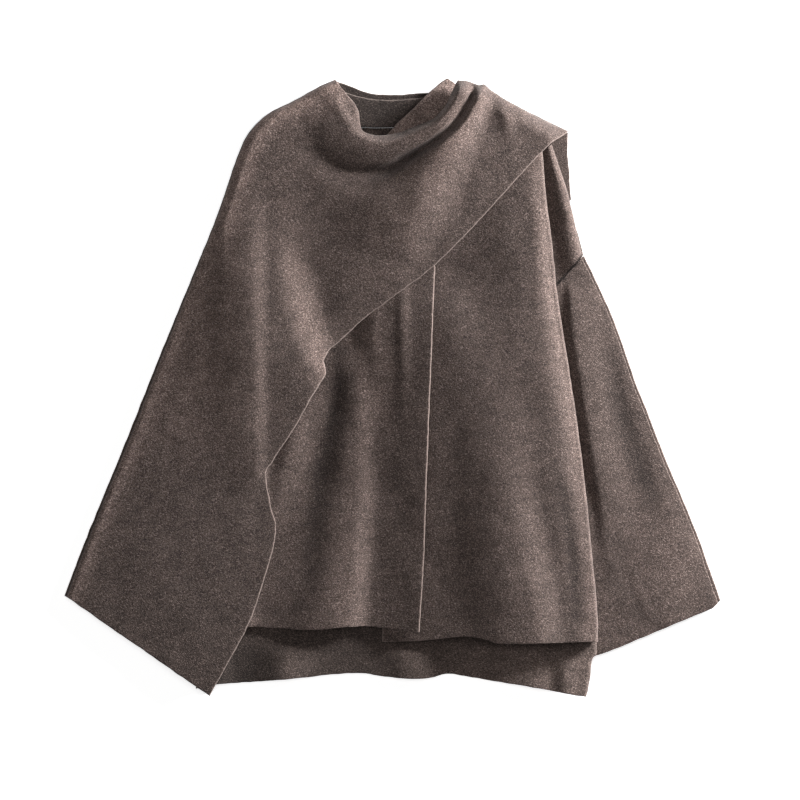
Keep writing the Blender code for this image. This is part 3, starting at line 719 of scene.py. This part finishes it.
cuff = edge([(-394.1, -250.1), (-310.1, -305.2), (-241.2, -352.1), (-222, -366)])
overarm = edge(RIGHT_SILHOUETTE + mirrored(off_seam(ARMHOLE[2:])))
inner = edge([(-222, -366), (-219, -240), (-215, -150), (-211, -60), (-202, 20), (-193.4, 79.8)])
armhole = edge(mirrored(off_seam(ARMHOLE))[::-1])
points = cut_piece(cuff, armhole, overarm, inner, BACK_GRID)
sew("sleeve_right_back", points, ON_TABLE, hems=[cuff.line, overarm.line],
    seams=[armhole.line, smooth(RIGHT_OVERARM)])

cuff = edge([(228, -322), (253.3, -318.6), (325, -289), (385.6, -263.8)],
            [(385.6, -263.8), (394.1, -255.6)])
overarm = edge(before_end(LEFT_SILHOUETTE))
inner = edge(SLEEVE_UNDER + off_seam(ARMHOLE[:1]), before_end(off_seam(ARMHOLE)))
top = edge([tuple(inner.line[-1]), tuple(overarm.line[-1])])
points = cut_piece(cuff, top, inner, overarm, BACK_GRID)
sew("sleeve_left_back", points, ON_TABLE, hems=[cuff.line], cut=[overarm.line],
    seams=[smooth(ARMHOLE), smooth(LEFT_OVERARM)])

# %% Left sleeve front
LEFT_ARM_ROUND = 14.0
UNDER_BODY = (-14.0, 12.0)       # past the body's side, where the sleeve is held flat under the back
FOLDS_FROM_BODY = (8.0, 22.0)    # past the body's side, where its folds rise
FOLDS_UP_TO = (140.0, 110.0)     # and how far up they go
SLEEVE_FOLDS = [
    Fold("beside_side_fold", [(261, -207), (254, -147), (247, -111), (241, -75), (232, -15), (222, 45),
                              (214, 105), (214, 135)],
         (1, 3, 4, 4.5, 4.5, 4.5, 3, 1), 16, 44, 0.1),
    Fold("cuff_wave", [(331, -273), (315, -237), (297, -195), (283, -153)],
         (1.6, 1.6, 1.2, 0.3), 30, 34, 0.2),
    Fold("cuff_streak", [(309, -281), (295, -243), (285, -213)], (0.5, 0.5, 0.2), 9, 12, 0.2),
    Fold("sleeve_hollow", [(262, 40), (271, -15), (292, -75), (312, -135), (326, -180)],
         (-0.2, -0.5, -0.5, -0.5, -0.2), 18, 22, 0.4),
    Fold("outer_wave", [(352, -240), (330, -180), (310, -130)], (1.5, 1.5, 0.5), 34, 34, 0.45),
]

cuff = edge([(228, -322), (253.3, -319.2), (325, -289.6), (384.6, -264.9)],
            [(384.6, -264.9), (390.4, -259)])
overarm = edge(LEFT_OVERARM)
inner = edge(SLEEVE_UNDER + [(193.4, 80), (190.2, 114.8)])
armhole = edge([(190.2, 114.8), (200.0, 126.2), (218.0, 145.7), (226.4, 157.4)])
points = cut_piece(cuff, armhole, inner, overarm)
raised, bloom = folded(points, SLEEVE_FOLDS)
share = ramp(points[..., 1], *FOLDS_UP_TO) * ramp(past_side(points), *FOLDS_FROM_BODY)
heights = LAYER_1 + uneven(points) * ramp(past_side(points), *UNDER_BODY) + raised * share
heights = turned_down(points, heights, overarm.line, AT_SEAM, LEFT_ARM_ROUND)
# painted highlight on the sleeve's ridges, painted shade in its hollow
sew("sleeve_left_front", points, heights, hems=[cuff.line, overarm.line], seams=[armhole.line],
    bloom=bloom * share)

# %% [markdown]
# ## Left shoulder
# Behind the fold of the left front a strip of that front runs up to the armhole seam, and it
# holds down the end of the shawl, which hangs behind the shoulder.

# %% Shoulder strip and shawl tail
SHOULDER_CREST = 4.5             # how far the strip rises from the side fold to its outer edge
CREST_SHARES = (0.08, 0.75)      # shares of the way out between which it rises
CREST_ROUND = 7.0
CREST_FROM = (118.0, 150.0)      # heights on the body
# painted highlight along the crest of the strip
CREST_HIGHLIGHT = 0.35
OVER_TAIL = (196.0, 214.0)       # heights on the body between which it goes up over the tail
CALM_SHARES = (0.05, 0.4)        # under the fold it lies even

ridge = edge([(226.2, 158.2), (218.4, 194.0), (211.6, 223.0), (206.4, 242.5), (198.5, 265.9),
              (190.1, 290.6)])
hidden = edge([(190, 115.5), (184, 172), (176, 228), (171, 281)])
armhole = edge([(190, 115.5), (199.8, 126.9), (217.8, 146.4), (226.2, 158.2)])
shoulder_top = edge([(171, 281), (190.1, 290.6)])
points = cut_piece(armhole, shoulder_top, hidden, ridge, SMALL_GRID)
across, along = points[..., 0], points[..., 1]
from_ridge = nearest(points, ridge.line)[0]
past_fold = across - np.interp(along, *np.transpose(FOLD_LINE)[::-1])
up_strip = past_fold / (np.abs(past_fold) + from_ridge + TINY)
crest = ramp(up_strip, *CREST_SHARES) * rounded(from_ridge, CREST_ROUND) * ramp(along, *CREST_FROM)
heights = LAYER_1 + (LAYER_2 - LAYER_1) * ramp(along, *OVER_TAIL) + SHOULDER_CREST * crest
heights += uneven(points) * ramp(up_strip, *CALM_SHARES)
sew("front_left_shoulder", points, heights, seams=[armhole.line], bloom=CREST_HIGHLIGHT * crest)

tail_edge = edge([(214.2, 224.6), (212.2, 256.8), (210.2, 280.2), (210.4, 306.0)])
points = cut_piece(edge([(196, 222), (214.2, 224.6)]), edge([(183, 300), (210.4, 306.0)]),
                   edge([(196, 222), (188, 262), (183, 300)]), tail_edge, SMALL_GRID)
sew("shawl_tail", points, LAYER_1, hems=[tail_edge.line])

# %% [markdown]
# ## Left front
# The left front lies on the back and rises to its side, where it is folded over and turned
# under. The fold is a half round of the cloth's own radius, so the grid gets extra columns that
# go round it and back.

# %% Left front, its level
TURN_START = CLOTH / 2 + FOLD_RADIUS
TURN_ANGLES = (75, 60, 45, 30, 15, 0, -15, -30, -45, -60, -75, -90)
RETURN_STEPS = 5
UPPER_SLOPE = (240.0, 26.0)      # the slope up to the side at the chest, as distances from the fold
LOWER_SLOPE = (262.0, 120.0)     # the same lower down, where it starts under the right front
UPPER_BODY = (50.0, 150.0)       # heights on the body between which the one becomes the other
SOFT_ROLL = [(-305, 1.5), (-200, 2.0), (-100, 5.0), (0, 6.5), (110, 6.0), (200, 2.0), (284, 0.5)]
UPPER_ROLL = (110.0, 36.0)       # distances from the fold between which the soft roll beside it rises
LOWER_ROLL = (230.0, 36.0)
FALL_WIDTH = ((0, 100, 200), (34, 26, 11))     # heights on the body, and widths of the roll's fall
ROLL_TURN = 2.4                  # how much of the roll's fall is close to the fold
FRONT_LEFT_FOLDS = [
    Fold("hem_ridge", [(172, -306), (165, -255), (157, -219), (149, -183), (141, -147), (133, -111),
                       (127, -60), (124, 0)],
         (7, 7.5, 7.5, 7, 6, 4.5, 2.5, 0), (110, 110, 100, 90, 80, 70, 60, 40),
         (40, 40, 40, 40, 42, 44, 46, 40), 0.12),
    Fold("beside_fold_hollow", [(196, -110), (204, -140), (214, -183), (217, -219), (219, -275)],
         (-0.2, -0.6, -0.8, -0.8, -0.6), 24, 12, 0.45),
]
CLEAR_OF_FOLD = (0.0, 16.0)      # distances inside the fold over which the folds rise
CLEAR_OF_CENTRE = (44.0, 70.0)   # across the body, where they come out from under the right front
CONTACT_SHADE = -0.16            # painted shade beside the free edge of the right front that lies on it
CONTACT_WIDTH = (9.0, 1.0)
FOLD_HIGHLIGHT = 0.4                  # painted highlight along the fold
FOLD_HIGHLIGHT_FROM = (26.0, 2.0)
# painted highlight on the cloth that goes round the fold and under it
TURN_HIGHLIGHT = 0.2

where_it_turns = edge([(x - TURN_START, y) for x, y in FOLD_LINE])


def to_side_fold(points):
    """How far each point lies inside the line where the left front starts to turn under."""
    turn_line = where_it_turns.line
    return np.interp(points[..., 1], turn_line[:, 1], turn_line[:, 0]) - points[..., 0]


def left_front_level(points):
    """The height of the left front without its folds: a slope up to a soft roll at its side."""
    inside, along = to_side_fold(points), points[..., 1]
    upper = ramp(along, *UPPER_BODY)
    slope = upper * steady(inside, *UPPER_SLOPE) + (1 - upper) * steady(inside, *LOWER_SLOPE)
    roll = np.interp(along, *zip(*SOFT_ROLL))
    roll *= upper * ramp(inside, *UPPER_ROLL) + (1 - upper) * steady(inside, *LOWER_ROLL)
    roll *= 1 - np.clip(1 - inside / np.interp(along, *FALL_WIDTH), 0.0, 1.0) ** ROLL_TURN
    return LAYER_1 + (FOLD_TOP - LAYER_1) * slope + roll


fold_foot, fold_head = where_it_turns.line[[0, -1]]
print("the left front turns under from", fold_foot.round(1), "to", fold_head.round(1))

# %% Left front, its sheet
hem = edge([(-12, -305.3), (37.6, -303.4), (86.9, -298.3), (114.5, -302.4), (136.6, -306.6),
            tuple(fold_foot)])
centre = edge([(-12, -305.3), (-14, -200), (-12, -60), (-8, 60), (2, 150)])
neck = edge([(2, 150), (62, 212), (112, 264), tuple(fold_head)])
points = cut_piece(hem, neck, centre, where_it_turns, lips="blt")
inside = to_side_fold(points)
clear_of_fold = ramp(inside, *CLEAR_OF_FOLD)
clear_of_edges = clear_of_fold * ramp(points[..., 0], *CLEAR_OF_CENTRE)
raised, bloom = folded(points, FRONT_LEFT_FOLDS)
heights = left_front_level(points) + raised * clear_of_edges + uneven(points) * clear_of_fold
panel = np.dstack([points, heights])
turn = np.radians(TURN_ANGLES)
shift = np.stack([np.cos(turn), 0 * turn, np.sin(turn) - 1.0], axis=-1) * FOLD_RADIUS
around = panel[:, -1:] + shift[None]
inward = np.linspace(0, FOLD_RETURN, RETURN_STEPS + 1)[1:, None] * (1.0, 0.0, 0.0)
under = around[:, -1:] - inward[None]
sheet = np.concatenate([panel, around, under], axis=1)
# painted shade beside the right front's free edge, painted highlights near the fold and round it
edge_shade = CONTACT_SHADE * ramp(nearest(points, smooth(FREE_EDGE))[0], *CONTACT_WIDTH)
bloom = np.pad(bloom * clear_of_edges + edge_shade + FOLD_HIGHLIGHT * ramp(inside, *FOLD_HIGHLIGHT_FROM),
               ((0, 0), (0, sheet.shape[1] - panel.shape[1])), constant_values=TURN_HIGHLIGHT)
sew("front_left", sheet, sheet[..., 2], cut=[centre.line], hems=[np.vstack([hem.line, FOLD_LINE[:1]])],
    bloom=bloom)

# %% [markdown]
# ## Right front
# The right front lies on top at the centre, and its free edge runs almost straight down. Its
# folds fall from the chest to the hem.

# %% Right front
FRONT_OVER_BACK = (-70.0, -48.0)
RIGHT_OVER_LEFT = (-52.0, -20.0)
EDGE_RISES = (-14.0, 45.0)       # across the body, where its free edge rises a little more, low down
RIGHT_EDGE_RISE = 2.0
LOW_DOWN = (120.0, -60.0)
FRONT_RIGHT_FOLDS = [
    Fold("centre_ridge", [(-55, -292), (-53, -255), (-51, -219), (-50, -183), (-47, -147), (-45, -111),
                          (-45, -63), (-45, -15), (-47, 33)],
         (9.5, 9.5, 9, 8.5, 8, 7, 6, 5, 2.5), (112, 110, 98, 86, 68, 50, 42, 31, 30),
         (31, 31, 31, 31, 30, 29, 28, 27, 26), 0.35),
    Fold("side_ridge", [(-150, -165), (-140, -130), (-127, -92), (-117, -54), (-110, -20)],
         (0.5, 2, 3, 3, 1), 20, 28, 0.2),
    Fold("upper_crease", [(9, -30), (12.6, 8), (11.4, 57), (11.4, 110)],
         (0.1, 0.7, 1.2, 0.9), 9, 15, 0.2),
    Fold("deep_hollow", [(-62, 40), (-63, 3), (-70, -40), (-84, -100), (-92, -160), (-101, -220),
                         (-118, -270)],
         (-0.3, -0.5, -0.5, -0.5, -0.5, -0.4, -0.2), 32, 20, 0.5),
    Fold("between_creases", [(-34, 90), (-26, 50), (-18, 5), (-14, -50)],
         (0.3, 0.3, 0.3, 0.1), 30, 50, 0.5),
]

hem = edge([(-231, -287), (-173, -287.4), (-140, -288.6), (-100, -290.6), (-60, -287.8), (-30, -286.4),
            (0, -290.0), (32.2, -293.4)])
side = edge([(-231, -287), (-216, -180), (-202, -60), (-193, 20), (-189, 80), (-190, 200), (-172, 284)])
centre = edge(FREE_EDGE, [FREE_EDGE[-1], (20, 195), (-50, 236), (-94, 278), (-112, 316)])
points = cut_piece(hem, edge([(-172, 284), (-112, 316)]), side, centre)
raised, bloom = folded(points, FRONT_RIGHT_FOLDS)
across, along = points[..., 0], points[..., 1]
over_left_front = ramp(across, *RIGHT_OVER_LEFT)
over_back_side = ramp(past_side(points * MIRROR), *FRONT_OVER_BACK)
heights = LAYER_1 + (LAYER_2 - LAYER_1) * np.maximum(over_left_front, over_back_side) + raised
heights += (left_front_level(points) - LAYER_1) * over_left_front
heights += RIGHT_EDGE_RISE * ramp(across, *EDGE_RISES) * ramp(along, *LOW_DOWN)
# painted highlight on the right front's ridges, painted shade in its hollows
sew("front_right", points, heights + uneven(points), hems=[hem.line], cut=[centre.line], bloom=bloom)

# %% [markdown]
# ## Inside of the cowl
# Where the shawl rolls at the neck, a stretch of its other side shows inside the roll.

# %% Shawl inner
UNDER_ROLL = 5.2                 # how far it rises to the roll that hides its other side
INNER_FALL = (0.72, 1.0)         # shares of the way up between which it comes down
INNER_GRID = 2.2
# painted light lifts the inside of the cowl, which the roll above it shades
INNER_PAINTED_LIGHT = 1.3

free = edge([(-7.4, 301.5), (4.8, 316), (23.2, 333.1), (44, 354), (65.4, 371.4)])
hidden = edge([(9, 299), (32, 307), (52, 314.5), (65, 327.5), (74, 343), (80, 357)])
points = cut_piece(edge([(-7.4, 301.5), (9, 299)]), edge([(65.4, 371.4), (74.4, 365), (80, 357)]),
                   free, hidden, INNER_GRID)
to_free = nearest(points, free.line)[0]
to_hidden = nearest(points, hidden.line)[0]
fall = ramp(np.linspace(0.0, 1.0, len(points))[:, None], *INNER_FALL)
rise = UNDER_ROLL * to_free / (to_free + to_hidden + TINY)
sew("shawl_inner", points, (ON_FACING + rise) * (1 - fall) + (LAYER_1 + AIR) * fall,
    cut=[free.line], bloom=INNER_PAINTED_LIGHT)

# %% [markdown]
# ## Cape
# The right sleeve front and the shawl are one cloth with no seam between them. It is built from
# sections across the cloth: each starts on the overarm seam or the neck rim, bends towards a
# middle point and ends on the free cut edge. They run from the cuff up the arm, round the neck
# and on to the left shoulder.

# %% Sections of the cape
CAPE_SECTIONS = np.array([       # each: outer end, middle point and inner end
    (-390.8, -251.5, -305, -311, -219.1, -370.0), (-376.0, -211.5, -286, -270, -196.0, -328.0),
    (-358.0, -166.5, -266, -226, -173.5, -286.3), (-334.5, -108.5, -245, -174, -156.2, -238.1),
    (-308.6, -46.0, -224, -110, -139.9, -175.8), (-282.0, 23.0, -214, -58, -146.5, -140.0),
    (-258.0, 83.0, -205, -10, -151.8, -104.0), (-240.0, 128.0, -192, 19, -144.5, -90.5),
    (-221.8, 174.0, -180, 47, -137.6, -79.1), (-207.8, 210.5, -166, 75, -124.0, -59.0),
    (-187.4, 271.0, -152, 116, -111.5, -39.1), (-176.6, 297.0, -146, 135, -104.5, -25.5),
    (-165.9, 312.0, -150, 150, -98.5, -14.5), (-146.8, 329.0, -158, 165, -92.4, -4.8),
    (-119.6, 342.2, -158, 190, -86.0, 6.0), (-87.2, 360.1, -158, 222, -80.0, 16.5),
    (-68.5, 368.4, -122, 258, -82.8, 31.2), (-53.9, 349.1, -100, 276, -76.3, 44.2),
    (-46.6, 340.4, -84, 283, -67.0, 52.0), (-41.6, 329.4, -72, 279, -57.0, 61.0),
    (-40.4, 316.6, -59, 273, -46.0, 71.5), (-37.4, 307.4, -46, 266, -35.0, 81.5),
    (-29.4, 302.6, -33, 261, -22.5, 91.5), (-17.0, 300.7, -18, 257, -9.0, 101.0),
    (-2.0, 302.0, 2, 257, 9.0, 114.6), (15.0, 306.3, 26, 262, 31.0, 130.5),
    (33.0, 313.6, 48, 270, 54.0, 149.5), (49.0, 320.6, 70, 280, 80.0, 175.0),
    (61.0, 332.0, 88, 292, 107.0, 203.0), (69.5, 346.0, 104, 306, 133.0, 232.0),
    (74.4, 358.5, 116, 314, 156.0, 257.5), (78.4, 367.6, 126, 322, 174.0, 277.0),
    (91.0, 365.6, 132, 325, 189.0, 291.5), (103.0, 361.5, 129, 334, 202.0, 300.5),
    (109.5, 362.6, 124, 346, 210.6, 306.8),
])
CAPE_CORNERS = (0, 16, 31, 34)   # the sections at which the outer edge has its corners
CAPE_GRID = 3.3


def cape_rows():
    """The sections, close together: their three points in six columns."""
    rows = []
    for first, last in zip(CAPE_CORNERS, CAPE_CORNERS[1:]):
        run = smooth(CAPE_SECTIONS[first:last + 1])
        moved = np.diff(run, axis=0)
        step = np.maximum(np.hypot(moved[:, 0], moved[:, 1]), np.hypot(moved[:, 4], moved[:, 5]))
        along = np.concatenate([[0.0], np.cumsum(step)])
        wanted = np.linspace(0, along[-1], round(along[-1] / CAPE_GRID) + 1)
        if first == 0:
            wanted = np.sort(np.concatenate([wanted, LIPS]))
        rows.append(np.stack([np.interp(wanted, along, run[:, axis]) for axis in range(6)], axis=-1))
    return np.vstack([rows[0]] + [run[1:] for run in rows[1:]])


cape = cape_rows()
print("cape:", len(cape), "sections")

# %% Cape grid
CAPE_WIDTH = 300.0       # about how long a section is
lips = np.array(LIPS) / CAPE_WIDTH
even = np.linspace(0, 1, round(CAPE_WIDTH / CAPE_GRID) + 1)
share = np.unique(np.concatenate([even, lips, 1 - lips]))[None, :, None]
outer, via, inner = cape[:, None, 0:2], cape[:, None, 2:4], cape[:, None, 4:6]
points = (1 - share) ** 2 * outer + 2 * share * (1 - share) * via + share ** 2 * inner
print("cape grid:", points.shape[:2])

# %% [markdown]
# The cape's folds are what the eye reads first. The arm ridge comes down from the neck point, the
# cowl rolls round the neck with a deep hollow below it, and the shawl is gathered in two pleats
# where it goes over the left shoulder. The roll's lower side has a foot of 1, so that it ends in a
# sharp crease.

# %% Folds of the cape
CAPE_FOLDS = [
    Fold("arm_ridge", [(-166, -99), (-167, -15), (-169, 81), (-170, 165), (-168, 237)],
         (2.5, 3, 3.2, 2.8, 0.5), (60, 62, 62, 56, 30), (18, 20, 22, 24, 20), 0.15),
    Fold("cowl_roll", [(-68, 354.5), (-65, 335), (-57, 316), (-44, 300.5), (-27, 292), (-9, 289),
                       (7, 293), (20, 299), (38, 307.5), (54.5, 316.5), (66.5, 329), (76, 344),
                       (82, 358)],
         (1.5, 2.5, 3.5, 5, 6.5, 7.5, 8.5, 9, 9.5, 10, 10, 10, 9.5),
         (12, 14, 15, 16, 16, 15, 12, 10, 9, 9, 9, 9, 9),
         (44, 46, 47, 42, 35, 29, 26, 24, 21, 19, 19, 19, 19), 0.35, 2, 1),
    Fold("cowl_crease", [(-89, 282.5), (-61, 264.5), (-33, 258.5), (-7, 262), (14, 273), (29, 281),
                         (53, 297), (76, 317), (92, 341), (97, 357)],
         (-0.5, -1.5, -4, -7.5, -9.5, -10, -10, -9.5, -9, -7), (10, 10, 10, 10, 10, 9, 8, 8, 8, 8),
         (16, 16, 16, 14, 12, 11, 10, 9, 8, 8), 0.45),
    Fold("neck_ridge", [(-77, 352), (-67, 338), (-53, 322)], (0.6, 1.0, 0.6), 30, 12, 0.25),
    Fold("right_shoulder", [(-135, 320), (-105, 335), (-80, 345)], (0.3, 0.4, 0.3), 34, 34, 0.5),
    Fold("cowl_lower_ridge", [(-111, 267), (-75, 240.5), (-51, 230), (-21, 225), (9, 230)],
         (1.5, 2, 2, 1.5, 0.5), 20, 50, 0.1),
    Fold("shawl_ridge", [(2, 150), (10, 177), (22, 209), (36, 246), (52, 275), (68, 297), (83, 318),
                         (93, 335), (103, 354)],
         (3, 5.5, 8, 10.5, 11.5, 11.5, 11, 10.5, 10), (110, 110, 90, 50, 32, 22, 15, 12, 11),
         (46, 50, 54, 56, 52, 44, 36, 28, 26), 0.8),
    Fold("second_pleat", [(133, 350), (135, 330), (137, 315), (141, 291)],
         (1.6, 2, 1.6, 0.3), 14, 14, 0.3),
    Fold("shawl_loft", [(-60, 150), (10, 195), (90, 255), (170, 305)], (2, 3, 3, 1.5), 80, 85, 0.0),
]
raised, bloom = folded(points, CAPE_FOLDS)
print(len(CAPE_FOLDS), "folds of the cape, up to", raised.max().round(1), "mm high")

# %% [markdown]
# Under its folds the cape has a level of its own. It starts on the sleeve's back layer at the
# overarm seam, climbs over the body and the two fronts, and then over the rolled side of the left
# front to the shoulder.

# %% Level of the cape
ARM_LIFT = 2.5                   # how far the sleeve's edge stands up beside the overarm seam
BODY_START = 10.0                # past the back's side, where the cape has risen over the right front
EDGE_REACH = 10.0                # where the overarm comes close, the width left for that rise
CAPE_RISE = (285.0, 60.0)        # the slope up to the left shoulder, as distances from the side fold
OVERARM_CALM = (0.0, 60.0)       # near the overarm seam the cloth lies even
ABOVE_SLEEVE = (180.0, 240.0)    # but not from here up
TIP_DROP = 9.0                   # how far its tip comes down past the shoulder
PAST_SHOULDER = (184.0, 212.0)

outer = points[:, 0]
neck, pleat = (int(np.hypot(*(outer - CAPE_SECTIONS[corner, :2]).T).argmin())
               for corner in CAPE_CORNERS[1:3])
overarm_line, rim, shoulder_line = outer[:neck + 1], outer[neck:pleat + 1], outer[pleat:]
across, along = points[..., 0], points[..., 1]
from_overarm = nearest(points, overarm_line)[0]
overarm = np.interp(along, overarm_line[:, 1], overarm_line[:, 0])
body_side = -np.interp(along, *np.array(HALF_WIDTH).T) - BODY_START
over_body = steady(across, overarm, np.maximum(body_side, overarm + EDGE_REACH))
over_shoulder = steady(to_side_fold(points), *CAPE_RISE)
heights = LAYER_1 + ARM_LIFT + (LAYER_3 - LAYER_1 - ARM_LIFT) * over_body
heights += (SHOULDER_TOP - LAYER_3) * over_shoulder
calm = np.maximum(ramp(from_overarm, *OVERARM_CALM), ramp(along, *ABOVE_SLEEVE))
heights += raised + uneven(points) * calm - TIP_DROP * ramp(across, *PAST_SHOULDER)
print("the cape lies", heights.min().round(1), "to", heights.max().round(1), "mm up")

# %% [markdown]
# The chest is a broad form of its own. The cloth is high between the arm ridge and a line, and
# falls away to the right of it, where it gets a painted highlight.

# %% Chest and painted light
CHEST_LINE = [(-157, 249), (-152, 213), (-148, 177), (-140, 129), (-130, 81), (-114, 36), (-104, 8),
              (-112, -40), (-135, -90), (-146, -130)]
CHEST_RISE = (0, 1, 3.5, 7.5, 10, 10, 8.5, 5, 2, 0)
CHEST_SLOPE = 54.0
CHEST_HIGHLIGHT = 0.6
ARM_CREST = -172.0               # across the garment, where the arm has risen to its ridge
ARM_REACH = 30.0                 # where the overarm comes close, the width left for that rise
ARM_PAINTED_LIGHT = 0.5
ARM_LIGHT_HEIGHTS = (-120.0, 0.0)         # heights on the body
CUFF_PAINTED_SHADE = 0.16                 # painted shade: the arm is a little darker towards its cuff
CUFF_FROM = (-40.0, -130.0)
OVERARM_PAINTED_LIGHT = 0.9              # painted light along the overarm seam, where the cloth slopes away from the lamp
OVERARM_LIGHT_REACH = (32.0, 0.0)

up_arm = steady(across, overarm, np.maximum(ARM_CREST, overarm + ARM_REACH))
chest = smooth(np.column_stack([CHEST_LINE, CHEST_RISE]))[::-1]
chest_place, chest_rise = (np.interp(along, chest[:, 1], chest[:, axis]) for axis in (0, 2))
fallen = ramp(across - chest_place, 0, CHEST_SLOPE)
heights += chest_rise * (1 - fallen) * up_arm
# painted highlight on the chest's falling side, painted light on the arm, painted shade at the cuff
bloom += CHEST_HIGHLIGHT * 4 * fallen * (1 - fallen) * chest_rise / max(CHEST_RISE)
bloom += ARM_PAINTED_LIGHT * 4 * up_arm * (1 - up_arm) * ramp(along, *ARM_LIGHT_HEIGHTS)
bloom -= CUFF_PAINTED_SHADE * ramp(along, *CUFF_FROM)
bloom += OVERARM_PAINTED_LIGHT * ramp(from_overarm, *OVERARM_LIGHT_REACH)
print("the chest rises", chest_rise.max().round(1), "mm, bloom", bloom.min().round(2), "to",
      bloom.max().round(2))

# %% [markdown]
# At last its edges come down: to the sleeve's back at the overarm seam, a little at the neck rim,
# and round the left shoulder, where it turns over the edge and ends on the tail.

# %% Edges of the cape
OVERARM_ROUND = 4.0
RIM_ROUND = 8.0
RIM_DROP = 2.5
RIM_FROM = (-60.0, -44.0)        # across the body
SHOULDER_ROUND = 20.0
SHOULDER_LEVEL = 15.0
TO_TIP = (140.0, 188.0)          # across the shoulder, where its edge comes down onto the tail
SHOULDER_FADE = (3.0, 26.0)      # distances from the shoulder's edge over which the painted light comes up

heights = turned_down(points, heights, overarm_line, AT_SEAM, OVERARM_ROUND)
heights -= RIM_DROP * (1 - rounded(nearest(points, rim)[0], RIM_ROUND)) * ramp(across, *RIM_FROM)
shoulder_line = np.vstack([shoulder_line, points[-1, 1:]])
shoulder_level = SHOULDER_LEVEL + (LAYER_2 + AIR - SHOULDER_LEVEL) * ramp(across, *TO_TIP)
heights = turned_down(points, heights, shoulder_line, shoulder_level, SHOULDER_ROUND)
bloom *= ramp(nearest(points, shoulder_line)[0], *SHOULDER_FADE)
# the cape's painted light: highlights on its ridges and chest, shade in its hollows and at the cuff
sew("cape_right", points, heights, cut=[points[:, -1]], hems=[points[0]], seams=[outer[:neck]],
    bloom=bloom)

# %% [markdown]
